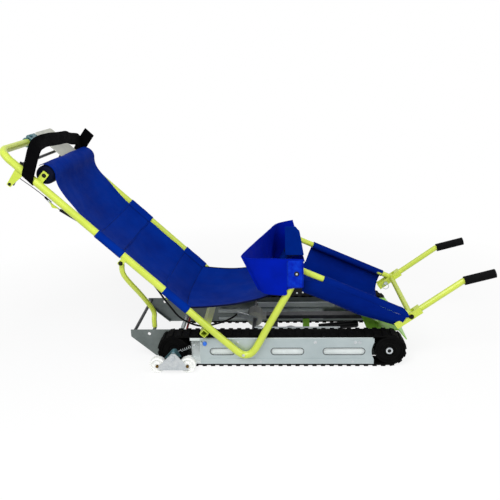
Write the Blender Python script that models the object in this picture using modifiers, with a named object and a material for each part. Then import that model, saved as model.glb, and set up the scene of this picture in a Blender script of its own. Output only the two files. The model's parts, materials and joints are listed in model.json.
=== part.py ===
"""Tracked evacuation chair: two belt tracks under a folding sling seat on a tube frame.

The passenger faces +X, the floor is Z = 0, and right is the -Y side. Lengths are in metres.
"""
import math

import bmesh
import bpy
from mathutils import Matrix, Vector

# Fits shared by every piece
SEAT_GAP = 0.0003
RUNNING_GAP = 0.0005
PIN_CLEARANCE = 0.0004

# Belt tracks
AXLE_SPAN = 0.751
REAR_AXLE_X = -0.245
BELT_WIDTH = 0.060
BELT_INNER_Y = 0.1545
BELT_BASE = 0.006
LUG_HEIGHT = 0.004
LUG_PITCH = 0.030
LUG_LENGTH = 0.015
DRUM_RADIUS = 0.0496
DRUM_WIDTH = 0.056
DRUM_RIM = 0.006
DRUM_RECESS = 0.004
AXLE_RADIUS = 0.008
HUB_RADIUS = 0.012
HUB_LENGTH = 0.004
PLATE_THICKNESS = 0.003
RAIL_FLANGE = 0.012
RAIL_WEB = 0.005
RAIL_TAPER = 0.15
RAIL_END_GAP = 0.008

# Side plates
OUTER_PLATE_TOP = 0.107
OUTER_PLATE_BOTTOM = 0.011
LEDGE_HEIGHT = 0.020
LEDGE_DEPTH = 0.0015
SLOT_HEIGHT = 0.026
SLOT_Z = 0.059
SLOT_SHARES = ((0.169, 0.286), (0.454, 0.607), (0.695, 0.888))
INNER_PLATE_TOP = 0.114
INNER_PLATE_BOTTOM = 0.012
TAIL_X = -0.411
TAIL_DEPTH = 0.026
TAIL_TOE_X = -0.324
TAIL_HOLE_X = -0.344
TAIL_HOLE_Z = 0.098
TAIL_HOLE_RADIUS = 0.006
TAIL_FLANGE = 0.014
NOSE_LENGTH = 0.028
TAIL_ROD_RADIUS = 0.006

# Brake and spine between the tracks
GOVERNOR_X = 0.033
GOVERNOR_Z = 0.100
GOVERNOR_RADIUS = 0.029
GOVERNOR_LENGTH = 0.060
GOVERNOR_FINS = 5
FIN_DEPTH = 0.004
BRAKE_BLOCK = 0.022
SHAFT_RADIUS = 0.007
ARM_REACH = 0.066
ARM_RISE = 0.024
ARM_WIDTH = 0.014
ARM_THICKNESS = 0.005
SPINE_WIDTH = 0.037
SPINE_DEPTH = 0.014
SPINE_Z = 0.102
STRUT_BRACKET_X = 0.227
STRUT_BRACKET_LENGTH = 0.024
STRUT_BRACKET_BOTTOM = 0.031
STRUT_RADIUS = 0.014
STRUT_ROD_RADIUS = 0.004
STRUT_ROD_LENGTH = 0.036
STRUT_LENGTH = 0.150
STRUT_REAR_Z = 0.046
STRUT_FRONT_Z = 0.066
BRACKET_THICKNESS = 0.004
BRACKET_REAR = 0.028
BRACKET_FLAT = 0.042
BRACKET_NOSE = 0.071
BRACKET_Z = 0.108
BRACKET_NOSE_Z = 0.072
TONGUE_REAR = 0.085
TONGUE_FRONT = 0.016
TONGUE_TOP = 0.140
TONGUE_WIDTH = 0.17
CHEEK_BOTTOM = 0.084
CHEEK_SLANT = 0.024

# Rolling wheels
WHEEL_RADIUS = 0.028
WHEEL_WIDTH = 0.015
WHEEL_PIN_RADIUS = 0.004
WHEEL_LIFT = 0.0005
CASTER_WHEELBASE = 0.106
CASTER_PLATE = 0.004
CASTER_WHEEL_WIDTH = 0.024
CASTER_OUT = 0.021
SPRING_TURNS = 9
SPRING_RADIUS = 0.005
SPRING_WIRE = 0.0008
SPRING_ANCHOR_X = -0.146
SPRING_ANCHOR_Z = 0.099
SPRING_FOOT_ANGLE = math.radians(14.0)
SPRING_STUD_RADIUS = 0.002
ANCHOR_RADIUS = 0.0035
BOGIE_X = 0.107
BOGIE_Z = 0.036
BOGIE_WHEELBASE = 0.122
BOGIE_PLATE = 0.004

# Seat frame, measured up the back from the bolt at its foot
TUBE_RADIUS = 0.0125
FRAME_SIDE_GAP = 0.0025
VERTEX_X = 0.0
VERTEX_Z = 0.046
BACK_ANGLE = math.radians(43.8)
BACK_LENGTH = 0.9475
EYE_RADIUS = 0.0165
EYE_BOLT_RADIUS = 0.006
KNEE_X = 0.186
KNEE_Z = 0.357
KNEE_EYE_RADIUS = 0.0165
KNEE_BOLT_RADIUS = 0.005
KNEE_PLATE = 0.006
KNEE_PLATE_BOTTOM = 0.269
KNEE_PLATE_TOP = ((0.022, 0.020), (-0.010, 0.020))
KNEE_PLATE_FOOT = ((-0.040, 0.022), (-0.024, 0.0), (0.018, 0.0))
THIGH_BEND_AT = 0.30
THIGH_BEND = (0.012, -0.006)
CROSS_TUBE_SIDE = 0.022
CROSS_TUBE_AT = 0.160
CROSS_TUBE_WALL = 0.002
PUSH_BAR_LENGTH = 0.1065
PUSH_BAR_CORNER = 0.046
GUSSET_AHEAD = 0.0185
GUSSET_DEPTH = 0.064
GUSSET_WIDTH = 0.034
GUSSET_TIP = 0.007
GUSSET_THICKNESS = 0.005
PROP_AT = 0.531
PROP_RADIUS = 0.009
PROP_INNER_Y = 0.133
PROP_FOOT_X = -0.327
PROP_REST_RADIUS = 0.006
PROP_SHARES = ((0, 0, 0), (0.02, -0.10, 0.18), (0.62, -0.62, 0.52), (1.0, -1.0, 0.78), (1.0, -1.0, 0.9),
               (1.0, -1.0, 1.0))

# Brake bar
BRAKE_ROD_RADIUS = 0.005
BRAKE_ROD_RISE = 0.005
BRAKE_ROD_AHEAD = 0.0145
CABLE_START_DROP = 0.036
BRAKE_ARM_THICKNESS = 0.005
BRAKE_ARM_WIDTH = 0.014
BRAKE_ARM_GAP = 0.009
BRAKE_PIN_RADIUS = 0.004
CABLE_RADIUS = 0.003
CABLE_WIRE = 0.3
CABLE_BARREL = 1.5
CABLE_SHARES = ((0.955, 2.4), (0.902, 2.08), (0.844, 1.84), (0.770, 1.44), (0.633, 1.12), (0.443, 1.28))
CABLE_SLACK = ((-0.277, -0.207, 0.201), (-0.237, -0.158, 0.116), (-0.174, -0.106, 0.061),
               (-0.111, -0.065, 0.053), (-0.058, -0.0485, 0.0675))

# Slings, belts and pads
SLING_THICKNESS = 0.003
SLING_SAG = 0.035
SLING_EDGE = 0.004
SLING_LIFT_AT = 0.660
SLING_MEETS = math.radians(62.0)
SLING_LEAVES = math.radians(150.0)
SLING_STEPS = 5
SLING_BOTTOM_AT = 0.250
SLING_SIDE_GAP = 0.014
SEAT_DIP = 0.022
SEAT_ROWS = 10
SEAT_FRONT_BACK = 0.016
SEAT_TAPER = 1.3
UPPER_BAND = (0.545, 0.655)
LOWER_BAND = (0.256, 0.364)
BAND_THICKNESS = 0.0044
BOLSTER_RADIUS = 0.032
BOLSTER_BEHIND = 0.0545
BOLSTER_CROWN = 1.02
BOLSTER_ROUNDING = 0.35
BOLSTER_RISE = 0.040
TAB_THICKNESS = 0.004
TAB_WIDTH = 0.022
STRAP_BEHIND = 0.0135
STRAP_WIDTH = 0.045
STRAP_THICKNESS = 0.004
STRAP_RISE = 0.113
STRAP_TAIL = 0.105
STRAP_SHARES = ((-1.0, 0.28), (-0.995, 0.74), (-0.925, 0.96), (-0.61, 1.0), (-0.12, 0.92), (0.20, 0.875),
                (0.43, 0.76), (0.80, 0.64))
STRAP_MEETS = 0.50
STRAP_LEAN = math.radians(-23.0)
HEAD_PLATE_LENGTH = 0.143
HEAD_PLATE_WIDTH = 0.160
HEAD_PLATE_Y = 0.134
HEAD_PLATE_RISE = 0.022
HEAD_PLATE_AHEAD = 0.0155
SADDLE_WIDTH = 0.034
SADDLE_LENGTH = 0.077
SADDLE_Y = 0.0235
THIGH_BELT_BOTTOM = 0.250
THIGH_BELT_TOP = 0.408
THIGH_BELT_FRONT_X = 0.209
BELT_ROWS = 3

# Outline of the lap belt as shares of its front, its half width and its height
NEAR_RIM = ((1.0, 0.0), (0.718, 0.0), (0.431, 0.0), (0.215, 0.008), (0.057, 0.081), (0.033, 0.235))
FAR_RIM = ((0.287, 0.344), (0.402, 0.129), (0.517, 0.012), (0.718, 0.0), (0.876, 0.0))
NEAR_FOOT = ((1.0, 0.0, 0.38), (0.74, 0.0, 0.29), (0.53, 0.0, 0.215), (0.383, 0.016, 0.22),
             (0.297, 0.089, 0.23), (0.268, 0.243, 0.22))
FAR_FOOT = ((0.411, 0.344, 0.09), (0.445, 0.146, 0.03), (0.498, 0.012, 0.0), (0.622, 0.0, -0.03),
            (1.11, 0.0, -0.09))
SLEEVE_WALL = ((0.47, 0.22), (0.69, 0.22), (0.72, 0.115), (1.09, 0.115), (0.995, 0.84), (0.91, 1.0), (0.47, 1.0))

# Leg section
LEG_TUBE_RADIUS = 0.0105
LEG_INSET = 0.043
LEG_LENGTH = 0.428
LEG_ANGLE = math.radians(24.0)
LEG_SLING_FROM = 0.095
LEG_SLING_END = 0.024
LEG_SLING_SAG = 0.0725
TROUGH_POWER = 4.0
CROSSBAR_RADIUS = 0.0095
HANDLE_RADIUS = 0.0105
HANDLE_BEND = (0.167, 0.122)
HANDLE_END = (0.270, 0.149)
GRIP_WALL = 0.0045
GRIP_LENGTH = 0.104
FOOT_EYE = 1.3
CLAMP_AT = 0.030
CLAMP_LENGTH = 0.020
CHANNEL_BACK = 0.062
CHANNEL_HEIGHT = 0.024
LOCK_PIN_BACK = 0.030
LOCK_PIN_RADIUS = 0.004
LOCK_PIN_DEPTH = 0.010
RING_RADIUS = 0.012
RING_WIRE = 0.0012

# Sizes that follow from the ones above
LUG_RADIUS = DRUM_RADIUS + PIN_CLEARANCE + BELT_BASE + LUG_HEIGHT
BELT_INNER_RADIUS = DRUM_RADIUS + PIN_CLEARANCE
BELT_BASE_RADIUS = BELT_INNER_RADIUS + BELT_BASE
AXLE_Z = LUG_RADIUS
FRONT_AXLE_X = REAR_AXLE_X + AXLE_SPAN
BELT_Y = BELT_INNER_Y + BELT_WIDTH / 2
BELT_OUTER_Y = BELT_INNER_Y + BELT_WIDTH
OUTER_PLATE_Y = BELT_OUTER_Y + RUNNING_GAP + PLATE_THICKNESS / 2
OUTER_FACE_Y = OUTER_PLATE_Y + PLATE_THICKNESS / 2
INNER_PLATE_Y = BELT_INNER_Y - RUNNING_GAP - PLATE_THICKNESS / 2
INNER_FACE_Y = INNER_PLATE_Y - PLATE_THICKNESS / 2
FRAME_Y = OUTER_FACE_Y + FRAME_SIDE_GAP + TUBE_RADIUS
FRAME_INNER_Y = FRAME_Y - TUBE_RADIUS
FRAME_OUTER_Y = FRAME_Y + TUBE_RADIUS
WHEEL_Y = FRAME_INNER_Y + CASTER_OUT + CASTER_WHEEL_WIDTH / 2
CASTER_PLATE_Y = WHEEL_Y + CASTER_WHEEL_WIDTH / 2 + RUNNING_GAP + CASTER_PLATE / 2
SPRING_Y = FRAME_INNER_Y + WHEEL_WIDTH / 2
CASTER_DROP = AXLE_Z - WHEEL_RADIUS - WHEEL_LIFT
BRAKE_ARM_Y = FRAME_INNER_Y - BRAKE_ARM_GAP - BRAKE_ARM_THICKNESS / 2
SLOTS_X = [(REAR_AXLE_X + AXLE_SPAN * a, REAR_AXLE_X + AXLE_SPAN * b) for a, b in SLOT_SHARES]
BRACKET_START_X = FRONT_AXLE_X - BRACKET_REAR
PROP_REST_Z = INNER_PLATE_TOP - PROP_REST_RADIUS / 2
PUSH_BAR_REACH = BACK_LENGTH + PUSH_BAR_LENGTH
GUSSET_AT = BACK_LENGTH + GUSSET_AHEAD
BOLSTER_AT = BACK_LENGTH - BOLSTER_BEHIND
STRAP_AT = BACK_LENGTH - STRAP_BEHIND
LEG_SLING_TO = LEG_LENGTH - LEG_SLING_END
LEG_Y = FRAME_Y - LEG_INSET
CHANNEL_SIDE = LEG_TUBE_RADIUS + SEAT_GAP + TAB_THICKNESS / 2
LEG_INNER_Y = LEG_Y - CHANNEL_SIDE - TAB_THICKNESS / 2
SLEEVE_INNER_Y = LEG_Y - LEG_TUBE_RADIUS - 2 * SEAT_GAP - SLING_THICKNESS / 2
BRAKE_LEAN = math.atan2(BRAKE_ROD_AHEAD, GUSSET_DEPTH + BRAKE_ROD_RISE)

# Counts that set how finely round pieces are drawn
DRUM_SIDES = 24
WHEEL_SIDES = 20
ROUND_SIDES = 16
ARC_STEPS = 24
CURL_POINTS = 9

SIDES = (("right", -1), ("left", 1))
WORLD_UP = (math.pi / 2, 0.0, 0.0)
ALONG_X = (math.pi / 2, 0.0, math.pi / 2)
AXIS_Y = (math.pi / 2, 0.0, 0.0)

FINISHES = {
    "lime": ((0.66, 0.78, 0.07, 1.0), 0.35, 0.0),
    "blue": ((0.005, 0.025, 0.30, 1.0), 0.80, 0.0),
    "black": ((0.01, 0.01, 0.012, 1.0), 0.60, 0.0),
    "rubber": ((0.012, 0.012, 0.013, 1.0), 0.75, 0.0),
    "silver": ((0.43, 0.48, 0.46, 1.0), 0.40, 1.0),
    "zinc": ((0.55, 0.57, 0.58, 1.0), 0.35, 1.0),
    "steel": ((0.05, 0.05, 0.055, 1.0), 0.45, 1.0),
    "nylon": ((0.80, 0.82, 0.80, 1.0), 0.45, 0.0),
    "grey": ((0.42, 0.43, 0.41, 1.0), 0.50, 0.0),
}


def clear_scene():
    """Remove what the scene holds and make the collections for parts and cutters."""
    for thing in list(bpy.data.objects):
        bpy.data.objects.remove(thing, do_unlink=True)
    collections = []
    for name in ("evacuation_chair", "cutters"):
        collection = bpy.data.collections.new(name)
        bpy.context.scene.collection.children.link(collection)
        collections.append(collection)
    return collections


PARTS, CUTTERS = clear_scene()


def material_of(name, finish):
    """A Principled material for one piece."""
    colour, roughness, metallic = FINISHES[finish]
    material = bpy.data.materials.new(name)
    material.use_nodes = True
    shader = material.node_tree.nodes["Principled BSDF"]
    shader.inputs["Base Color"].default_value = colour
    shader.inputs["Roughness"].default_value = roughness
    shader.inputs["Metallic"].default_value = metallic
    return material


def place(name, mesh, finish, parent, location=(0, 0, 0), rotation=(0, 0, 0)):
    """Link a mesh as a piece, or as a cutter where no finish is given."""
    piece = bpy.data.objects.new(name, mesh)
    piece.parent = parent
    piece.location = location
    piece.rotation_euler = rotation
    if finish is None:
        CUTTERS.objects.link(piece)
        piece.hide_render = True
        piece.display_type = 'WIRE'
    else:
        PARTS.objects.link(piece)
        mesh.materials.clear()
        mesh.materials.append(material_of(name, finish))
    return piece


def axis_empty(name, parent, location, turn=0.0):
    """An empty on a joint's axis, turned about Y."""
    empty = bpy.data.objects.new(name, None)
    PARTS.objects.link(empty)
    empty.parent = parent
    empty.location = location
    empty.rotation_euler = (0.0, turn, 0.0)
    return empty


def welded_mesh(curve):
    """The closed mesh of a curve, with its caps welded on."""
    holder = bpy.data.objects.new("holder", curve)
    bpy.context.scene.collection.objects.link(holder)
    graph = bpy.context.evaluated_depsgraph_get()
    mesh = bpy.data.meshes.new_from_object(holder.evaluated_get(graph))
    bpy.data.objects.remove(holder, do_unlink=True)
    shape = bmesh.new()
    shape.from_mesh(mesh)
    bmesh.ops.remove_doubles(shape, verts=shape.verts, dist=1e-6)
    bmesh.ops.recalc_face_normals(shape, faces=shape.faces)
    shape.to_mesh(mesh)
    shape.free()
    return mesh


def sheet_piece(name, rows, thickness, finish, parent):
    """A sheet of even thickness through rows of points."""
    wide = len(rows[0])
    faces = []
    for i in range(len(rows) - 1):
        for j in range(wide - 1):
            k = i * wide + j
            faces.append((k, k + 1, k + wide + 1, k + wide))
    mesh = bpy.data.meshes.new(name)
    mesh.from_pydata([p for row in rows for p in row], [], faces)
    piece = place(name, shade_round(mesh), finish, parent)
    solid = piece.modifiers.new("thickness", 'SOLIDIFY')
    solid.thickness = thickness
    solid.offset = 0.0
    solid.use_even_offset = True
    return piece


def shade_round(mesh):
    """Smooth shading with sharp edges kept."""
    mesh.shade_smooth()
    mesh.set_sharp_from_angle(angle=math.radians(40))
    return mesh


def smooth_path(points, steps):
    """Points on a smooth curve through the given ones."""
    knots = [Vector(p) for p in points]
    knots = [2 * knots[0] - knots[1]] + knots + [2 * knots[-1] - knots[-2]]
    path = []
    for a, b, c, d in zip(knots, knots[1:], knots[2:], knots[3:]):
        for step in range(steps):
            t = step / steps
            near = 2 * b + (c - a) * t
            far = (2 * a - 5 * b + 4 * c - d) * t * t
            path.append(0.5 * (near + far + (3 * b - a - 3 * c + d) * t ** 3))
    path.append(knots[-2])
    return path


def tube_mesh(points, radius, resolution=4, widths=None):
    """A round tube along points, with filled ends. Widths scale the radius point by point."""
    curve = bpy.data.curves.new("tube", 'CURVE')
    curve.dimensions = '3D'
    curve.bevel_depth = radius
    curve.bevel_resolution = resolution
    curve.use_fill_caps = True
    spline = curve.splines.new('POLY')
    spline.points.add(len(points) - 1)
    for index, point in enumerate(points):
        spline.points[index].co = (*point, 1.0)
        spline.points[index].radius = widths[index] if widths else 1.0
    return shade_round(welded_mesh(curve))


def outline_mesh(loops, thickness):
    """A flat piece of one thickness from an outline and any holes, in the XY plane."""
    curve = bpy.data.curves.new("outline", 'CURVE')
    curve.dimensions = '2D'
    curve.fill_mode = 'BOTH'
    curve.extrude = thickness / 2
    for loop in loops:
        spline = curve.splines.new('POLY')
        spline.points.add(len(loop) - 1)
        spline.use_cyclic_u = True
        for index, (x, y) in enumerate(loop):
            spline.points[index].co = (x, y, 0.0, 1.0)
    return welded_mesh(curve)


def box_mesh(size):
    """A box centred on its origin."""
    mesh = bpy.data.meshes.new("box")
    shape = bmesh.new()
    bmesh.ops.create_cube(shape, size=1.0)
    bmesh.ops.scale(shape, vec=size, verts=shape.verts)
    shape.to_mesh(mesh)
    shape.free()
    return mesh


def rod_mesh(radius, length, sides=ROUND_SIDES):
    """A round bar along Z, centred on its origin."""
    mesh = bpy.data.meshes.new("rod")
    shape = bmesh.new()
    bmesh.ops.create_cone(shape, cap_ends=True, segments=sides, radius1=radius, radius2=radius, depth=length)
    shape.to_mesh(mesh)
    shape.free()
    return shade_round(mesh)


def turned_piece(name, profile, finish, parent, location, sides, rotation=AXIS_Y):
    """A piece turned about its own Z from a closed profile of radius and height."""
    mesh = bpy.data.meshes.new(name)
    edges = [(i, i + 1) for i in range(len(profile) - 1)]
    if profile[0][0] > 0.0:
        edges.append((len(profile) - 1, 0))
    mesh.from_pydata([(r, 0.0, z) for r, z in profile], edges, [])
    piece = place(name, mesh, finish, parent, location, rotation)
    screw = piece.modifiers.new("turn", 'SCREW')
    screw.steps = sides
    screw.render_steps = sides
    screw.use_merge_vertices = True
    screw.merge_threshold = 0.00001
    return piece


def combine(piece, tool, operation):
    """Join a tool to a piece or cut it away, and put the tool with the cutters."""
    step = piece.modifiers.new(operation.lower(), 'BOOLEAN')
    step.operation = operation
    step.solver = 'EXACT'
    step.object = tool


def join_mesh(piece, mesh, location=(0, 0, 0), rotation=(0, 0, 0)):
    """Join a mesh to a piece, placed in the piece's parent frame."""
    combine(piece, place(piece.name + ".add", mesh, None, piece.parent, location, rotation), 'UNION')


def cut_mesh(piece, mesh, location=(0, 0, 0), rotation=(0, 0, 0)):
    """Cut a mesh out of a piece, placed in the piece's parent frame."""
    combine(piece, place(piece.name + ".cut", mesh, None, piece.parent, location, rotation), 'DIFFERENCE')


def circle(x, y, radius, sides=ROUND_SIDES):
    """Points of a circle."""
    turns = [2 * math.pi * i / sides for i in range(sides)]
    return [(x + radius * math.cos(a), y + radius * math.sin(a)) for a in turns]


def slot_loop(x0, x1, y, height):
    """Points of a slot with round ends."""
    radius = height / 2
    half = 6
    points = []
    for i in range(half + 1):
        a = -math.pi / 2 + math.pi * i / half
        points.append((x1 - radius + radius * math.cos(a), y + radius * math.sin(a)))
    for i in range(half + 1):
        a = math.pi / 2 + math.pi * i / half
        points.append((x0 + radius + radius * math.cos(a), y + radius * math.sin(a)))
    return points


def ribbon_loop(points, thickness):
    """The closed outline of a strip of even thickness along 2D points."""
    path = [Vector(p) for p in points]
    left = []
    right = []
    for i, here in enumerate(path):
        ahead = path[min(i + 1, len(path) - 1)] - path[max(i - 1, 0)]
        side = Vector((-ahead.y, ahead.x)).normalized() * thickness / 2
        left.append(tuple(here + side))
        right.append(tuple(here - side))
    return left + right[::-1]


def track_point(distance, radius):
    """A point on a racetrack loop around both axles, by distance along the belt's base."""
    arc = math.pi * BELT_BASE_RADIUS
    distance %= 2 * (AXLE_SPAN + arc)
    if distance < AXLE_SPAN:
        return (REAR_AXLE_X + distance, AXLE_Z - radius)
    distance -= AXLE_SPAN
    if distance < arc:
        a = -math.pi / 2 + distance / BELT_BASE_RADIUS
        return (FRONT_AXLE_X + radius * math.cos(a), AXLE_Z + radius * math.sin(a))
    distance -= arc
    if distance < AXLE_SPAN:
        return (FRONT_AXLE_X - distance, AXLE_Z + radius)
    a = math.pi / 2 + (distance - AXLE_SPAN) / BELT_BASE_RADIUS
    return (REAR_AXLE_X + radius * math.cos(a), AXLE_Z + radius * math.sin(a))


def racetrack(radius):
    """A plain loop around both axles."""
    loop = []
    for centre, start in ((FRONT_AXLE_X, -math.pi / 2), (REAR_AXLE_X, math.pi / 2)):
        for i in range(ARC_STEPS + 1):
            a = start + math.pi * i / ARC_STEPS
            loop.append((centre + radius * math.cos(a), AXLE_Z + radius * math.sin(a)))
    return loop


def build_belts(parent):
    """A lugged rubber belt on each side."""
    length = 2 * (AXLE_SPAN + math.pi * BELT_BASE_RADIUS)
    count = round(length / LUG_PITCH)
    pitch = length / count
    outer = []
    for k in range(count):
        start = (k + 0.5) * pitch - LUG_LENGTH / 2
        end = start + LUG_LENGTH
        outer.append(track_point(start, BELT_BASE_RADIUS))
        outer.append(track_point(start, LUG_RADIUS))
        outer.append(track_point(end, LUG_RADIUS))
        outer.append(track_point(end, BELT_BASE_RADIUS))
    for name, sign in SIDES:
        mesh = outline_mesh((outer, racetrack(BELT_INNER_RADIUS)), BELT_WIDTH)
        place("track_belt_" + name, mesh, "rubber", parent, (0, sign * BELT_Y, 0), WORLD_UP)


def build_plates(parent):
    """Slotted side plates, the rails between them and the rods that join the two tracks."""
    slots = [slot_loop(x0, x1, SLOT_Z, SLOT_HEIGHT) for x0, x1 in SLOTS_X]
    drum_cut = LUG_RADIUS + PLATE_THICKNESS / 2
    left = REAR_AXLE_X + drum_cut * 1.5
    right = FRONT_AXLE_X - drum_cut * 0.86
    panel = [(left, OUTER_PLATE_BOTTOM), (right, OUTER_PLATE_BOTTOM)]
    panel += [(right, OUTER_PLATE_TOP), (left, OUTER_PLATE_TOP)]
    bolt_hole = circle(VERTEX_X, VERTEX_Z, EYE_BOLT_RADIUS + PIN_CLEARANCE)
    rear_hole = circle(REAR_AXLE_X, AXLE_Z, AXLE_RADIUS + SEAT_GAP)
    front_hole = circle(FRONT_AXLE_X, AXLE_Z, AXLE_RADIUS + PIN_CLEARANCE)
    shaft_hole = circle(GOVERNOR_X, GOVERNOR_Z, SHAFT_RADIUS + SEAT_GAP)
    tail_hole = circle(TAIL_HOLE_X, TAIL_HOLE_Z, TAIL_HOLE_RADIUS)
    nose_x = FRONT_AXLE_X + NOSE_LENGTH
    inner = [(TAIL_X, INNER_PLATE_TOP), (TAIL_X, INNER_PLATE_TOP - TAIL_DEPTH)]
    inner += [(TAIL_TOE_X, INNER_PLATE_BOTTOM), (FRONT_AXLE_X, INNER_PLATE_BOTTOM)]
    inner += [(nose_x, AXLE_Z - NOSE_LENGTH / 2), (nose_x, AXLE_Z + NOSE_LENGTH / 2)]
    inner += [(FRONT_AXLE_X + NOSE_LENGTH / 3, INNER_PLATE_TOP)]
    slope = Vector((TAIL_TOE_X - TAIL_X, INNER_PLATE_BOTTOM - INNER_PLATE_TOP + TAIL_DEPTH))
    middle = Vector((TAIL_X, INNER_PLATE_TOP - TAIL_DEPTH)) + slope / 2
    tilt = -math.atan2(slope.y, slope.x)
    inward = Vector((-slope.y, slope.x)).normalized() * PLATE_THICKNESS / 2
    for name, sign in SIDES:
        outer = place("outer_plate_" + name, outline_mesh([panel, bolt_hole], PLATE_THICKNESS),
                      "silver", parent, (0, sign * OUTER_PLATE_Y, 0), WORLD_UP)
        ledge = box_mesh((right - left - drum_cut, LEDGE_DEPTH + PLATE_THICKNESS / 2, LEDGE_HEIGHT))
        ledge_y = OUTER_PLATE_Y + LEDGE_DEPTH / 2 + PLATE_THICKNESS / 4
        ledge_z = OUTER_PLATE_BOTTOM + PLATE_THICKNESS / 2 + LEDGE_HEIGHT / 2
        join_mesh(outer, ledge, ((left + right) / 2, sign * ledge_y, ledge_z))
        for x in (REAR_AXLE_X, FRONT_AXLE_X):
            cut_mesh(outer, rod_mesh(drum_cut, 4 * PLATE_THICKNESS, 2 * DRUM_SIDES),
                     (x, sign * OUTER_PLATE_Y, AXLE_Z), AXIS_Y)
        anchor = rod_mesh(ANCHOR_RADIUS, WHEEL_WIDTH + PLATE_THICKNESS / 2)
        anchor_y = OUTER_PLATE_Y + WHEEL_WIDTH / 2 + PLATE_THICKNESS / 4
        join_mesh(outer, anchor, (SPRING_ANCHOR_X, sign * anchor_y, SPRING_ANCHOR_Z), AXIS_Y)
        holes = [rear_hole, front_hole, shaft_hole, tail_hole]
        plate = place("inner_plate_" + name, outline_mesh([inner] + holes, PLATE_THICKNESS),
                      "silver", parent, (0, sign * INNER_PLATE_Y, 0), WORLD_UP)
        flange = box_mesh((slope.length * 0.96, TAIL_FLANGE, PLATE_THICKNESS))
        flange_y = INNER_FACE_Y + PLATE_THICKNESS / 2 - TAIL_FLANGE / 2
        spot = middle + inward * 1.2
        join_mesh(plate, flange, (spot.x, sign * flange_y, spot.y), (0, tilt, 0))
        rest_length = INNER_PLATE_Y - PROP_INNER_Y + PROP_RADIUS
        rest = rod_mesh(PROP_REST_RADIUS, rest_length)
        rest_y = INNER_PLATE_Y - rest_length / 2
        join_mesh(plate, rest, (PROP_FOOT_X, sign * rest_y, PROP_REST_Z), AXIS_Y)
        for slot in slots:
            for target, side in ((outer, OUTER_PLATE_Y), (plate, INNER_PLATE_Y)):
                cutter = outline_mesh([slot], 4 * PLATE_THICKNESS)
                cut_mesh(target, cutter, (0, sign * side, 0), WORLD_UP)
        build_rail(name, sign, parent)
    span = 2 * (INNER_FACE_Y - SEAT_GAP)
    place("tail_rod", rod_mesh(TAIL_ROD_RADIUS, span), "steel", parent,
          (TAIL_X + 2 * TAIL_ROD_RADIUS, 0, INNER_PLATE_TOP - 1.5 * TAIL_ROD_RADIUS), AXIS_Y)


def build_rail(name, sign, parent):
    """The I-shaped slide rail that holds both belt runs flat."""
    half = BELT_WIDTH / 2 + RUNNING_GAP - SEAT_GAP
    top = BELT_INNER_RADIUS - SEAT_GAP
    web = RAIL_WEB / 2
    step = top - RAIL_FLANGE
    lip = step + RAIL_FLANGE * RAIL_TAPER
    loop = [(-half, -top), (half, -top), (half, -lip), (web, -step), (web, step), (half, lip)]
    loop += [(half, top), (-half, top), (-half, lip), (-web, step), (-web, -step), (-half, -lip)]
    length = AXLE_SPAN - 2 * DRUM_RADIUS - 2 * RAIL_END_GAP
    middle = (REAR_AXLE_X + FRONT_AXLE_X) / 2
    rail = place("slide_rail_" + name, outline_mesh([loop], length), "silver", parent,
                 (middle, sign * BELT_Y, AXLE_Z), ALONG_X)
    hole = rod_mesh(EYE_BOLT_RADIUS + PIN_CLEARANCE, BELT_WIDTH * 2)
    cut_mesh(rail, hole, (VERTEX_X, sign * BELT_Y, VERTEX_Z), AXIS_Y)


def build_drums(parent, front_axis, rear_axes):
    """Belt drums: the front pair turns with its axle, the rear pair turns on a fixed one."""
    half = DRUM_WIDTH / 2
    bore = AXLE_RADIUS + SEAT_GAP
    well = DRUM_RADIUS - DRUM_RIM
    profile = [(bore, half), (HUB_RADIUS, half), (HUB_RADIUS, half - DRUM_RECESS)]
    profile += [(well, half - DRUM_RECESS), (well, half), (DRUM_RADIUS, half)]
    profile += [(DRUM_RADIUS, -half), (bore, -half)]
    for name, sign in SIDES:
        turn = (sign * -math.pi / 2, 0, 0)
        spot = (0, sign * BELT_Y, 0)
        turned_piece("front_drum_" + name, profile, "rubber", front_axis, spot, DRUM_SIDES, turn)
        turned_piece("rear_drum_" + name, profile, "rubber", rear_axes[name], (0, 0, 0), DRUM_SIDES, turn)
    drum_face = BELT_Y + half
    reach = drum_face + RUNNING_GAP + HUB_LENGTH
    front = place("front_axle", rod_mesh(AXLE_RADIUS, 2 * reach), "zinc", front_axis, (0, 0, 0), AXIS_Y)
    for name, sign in SIDES:
        ring = rod_mesh(HUB_RADIUS, HUB_LENGTH)
        join_mesh(front, ring, (0, sign * (drum_face + SEAT_GAP + HUB_LENGTH / 2), 0), AXIS_Y)
    axle_end = CASTER_PLATE_Y + CASTER_PLATE / 2 + RUNNING_GAP + HUB_LENGTH
    rear = place("rear_axle", rod_mesh(AXLE_RADIUS, 2 * axle_end), "zinc", parent,
                 (REAR_AXLE_X, 0, AXLE_Z), AXIS_Y)
    for name, sign in SIDES:
        nut = rod_mesh(HUB_RADIUS, HUB_LENGTH, 6)
        join_mesh(rear, nut, (REAR_AXLE_X, sign * (axle_end - HUB_LENGTH / 2), AXLE_Z), AXIS_Y)


def wheel(name, parent, width):
    """A moulded nylon wheel with a rim and a hub."""
    half = width / 2
    bore = WHEEL_PIN_RADIUS + PIN_CLEARANCE
    tread = half * 0.7
    profile = [(bore, half), (WHEEL_RADIUS * 0.36, half), (WHEEL_RADIUS * 0.42, tread)]
    profile += [(WHEEL_RADIUS * 0.72, tread), (WHEEL_RADIUS * 0.8, half), (WHEEL_RADIUS * 0.92, half)]
    profile += [(WHEEL_RADIUS, tread), (WHEEL_RADIUS, -tread), (WHEEL_RADIUS * 0.92, -half), (bore, -half)]
    turned_piece(name, profile, "nylon", parent, (0, 0, 0), WHEEL_SIDES)


def least_gap(points, wire):
    """The smallest clear distance between turns of a wound wire."""
    best = 1.0
    for i, here in enumerate(points):
        for other in points[i + CURL_POINTS // 2:]:
            best = min(best, (here - other).length)
    return best - 2 * wire


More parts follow.
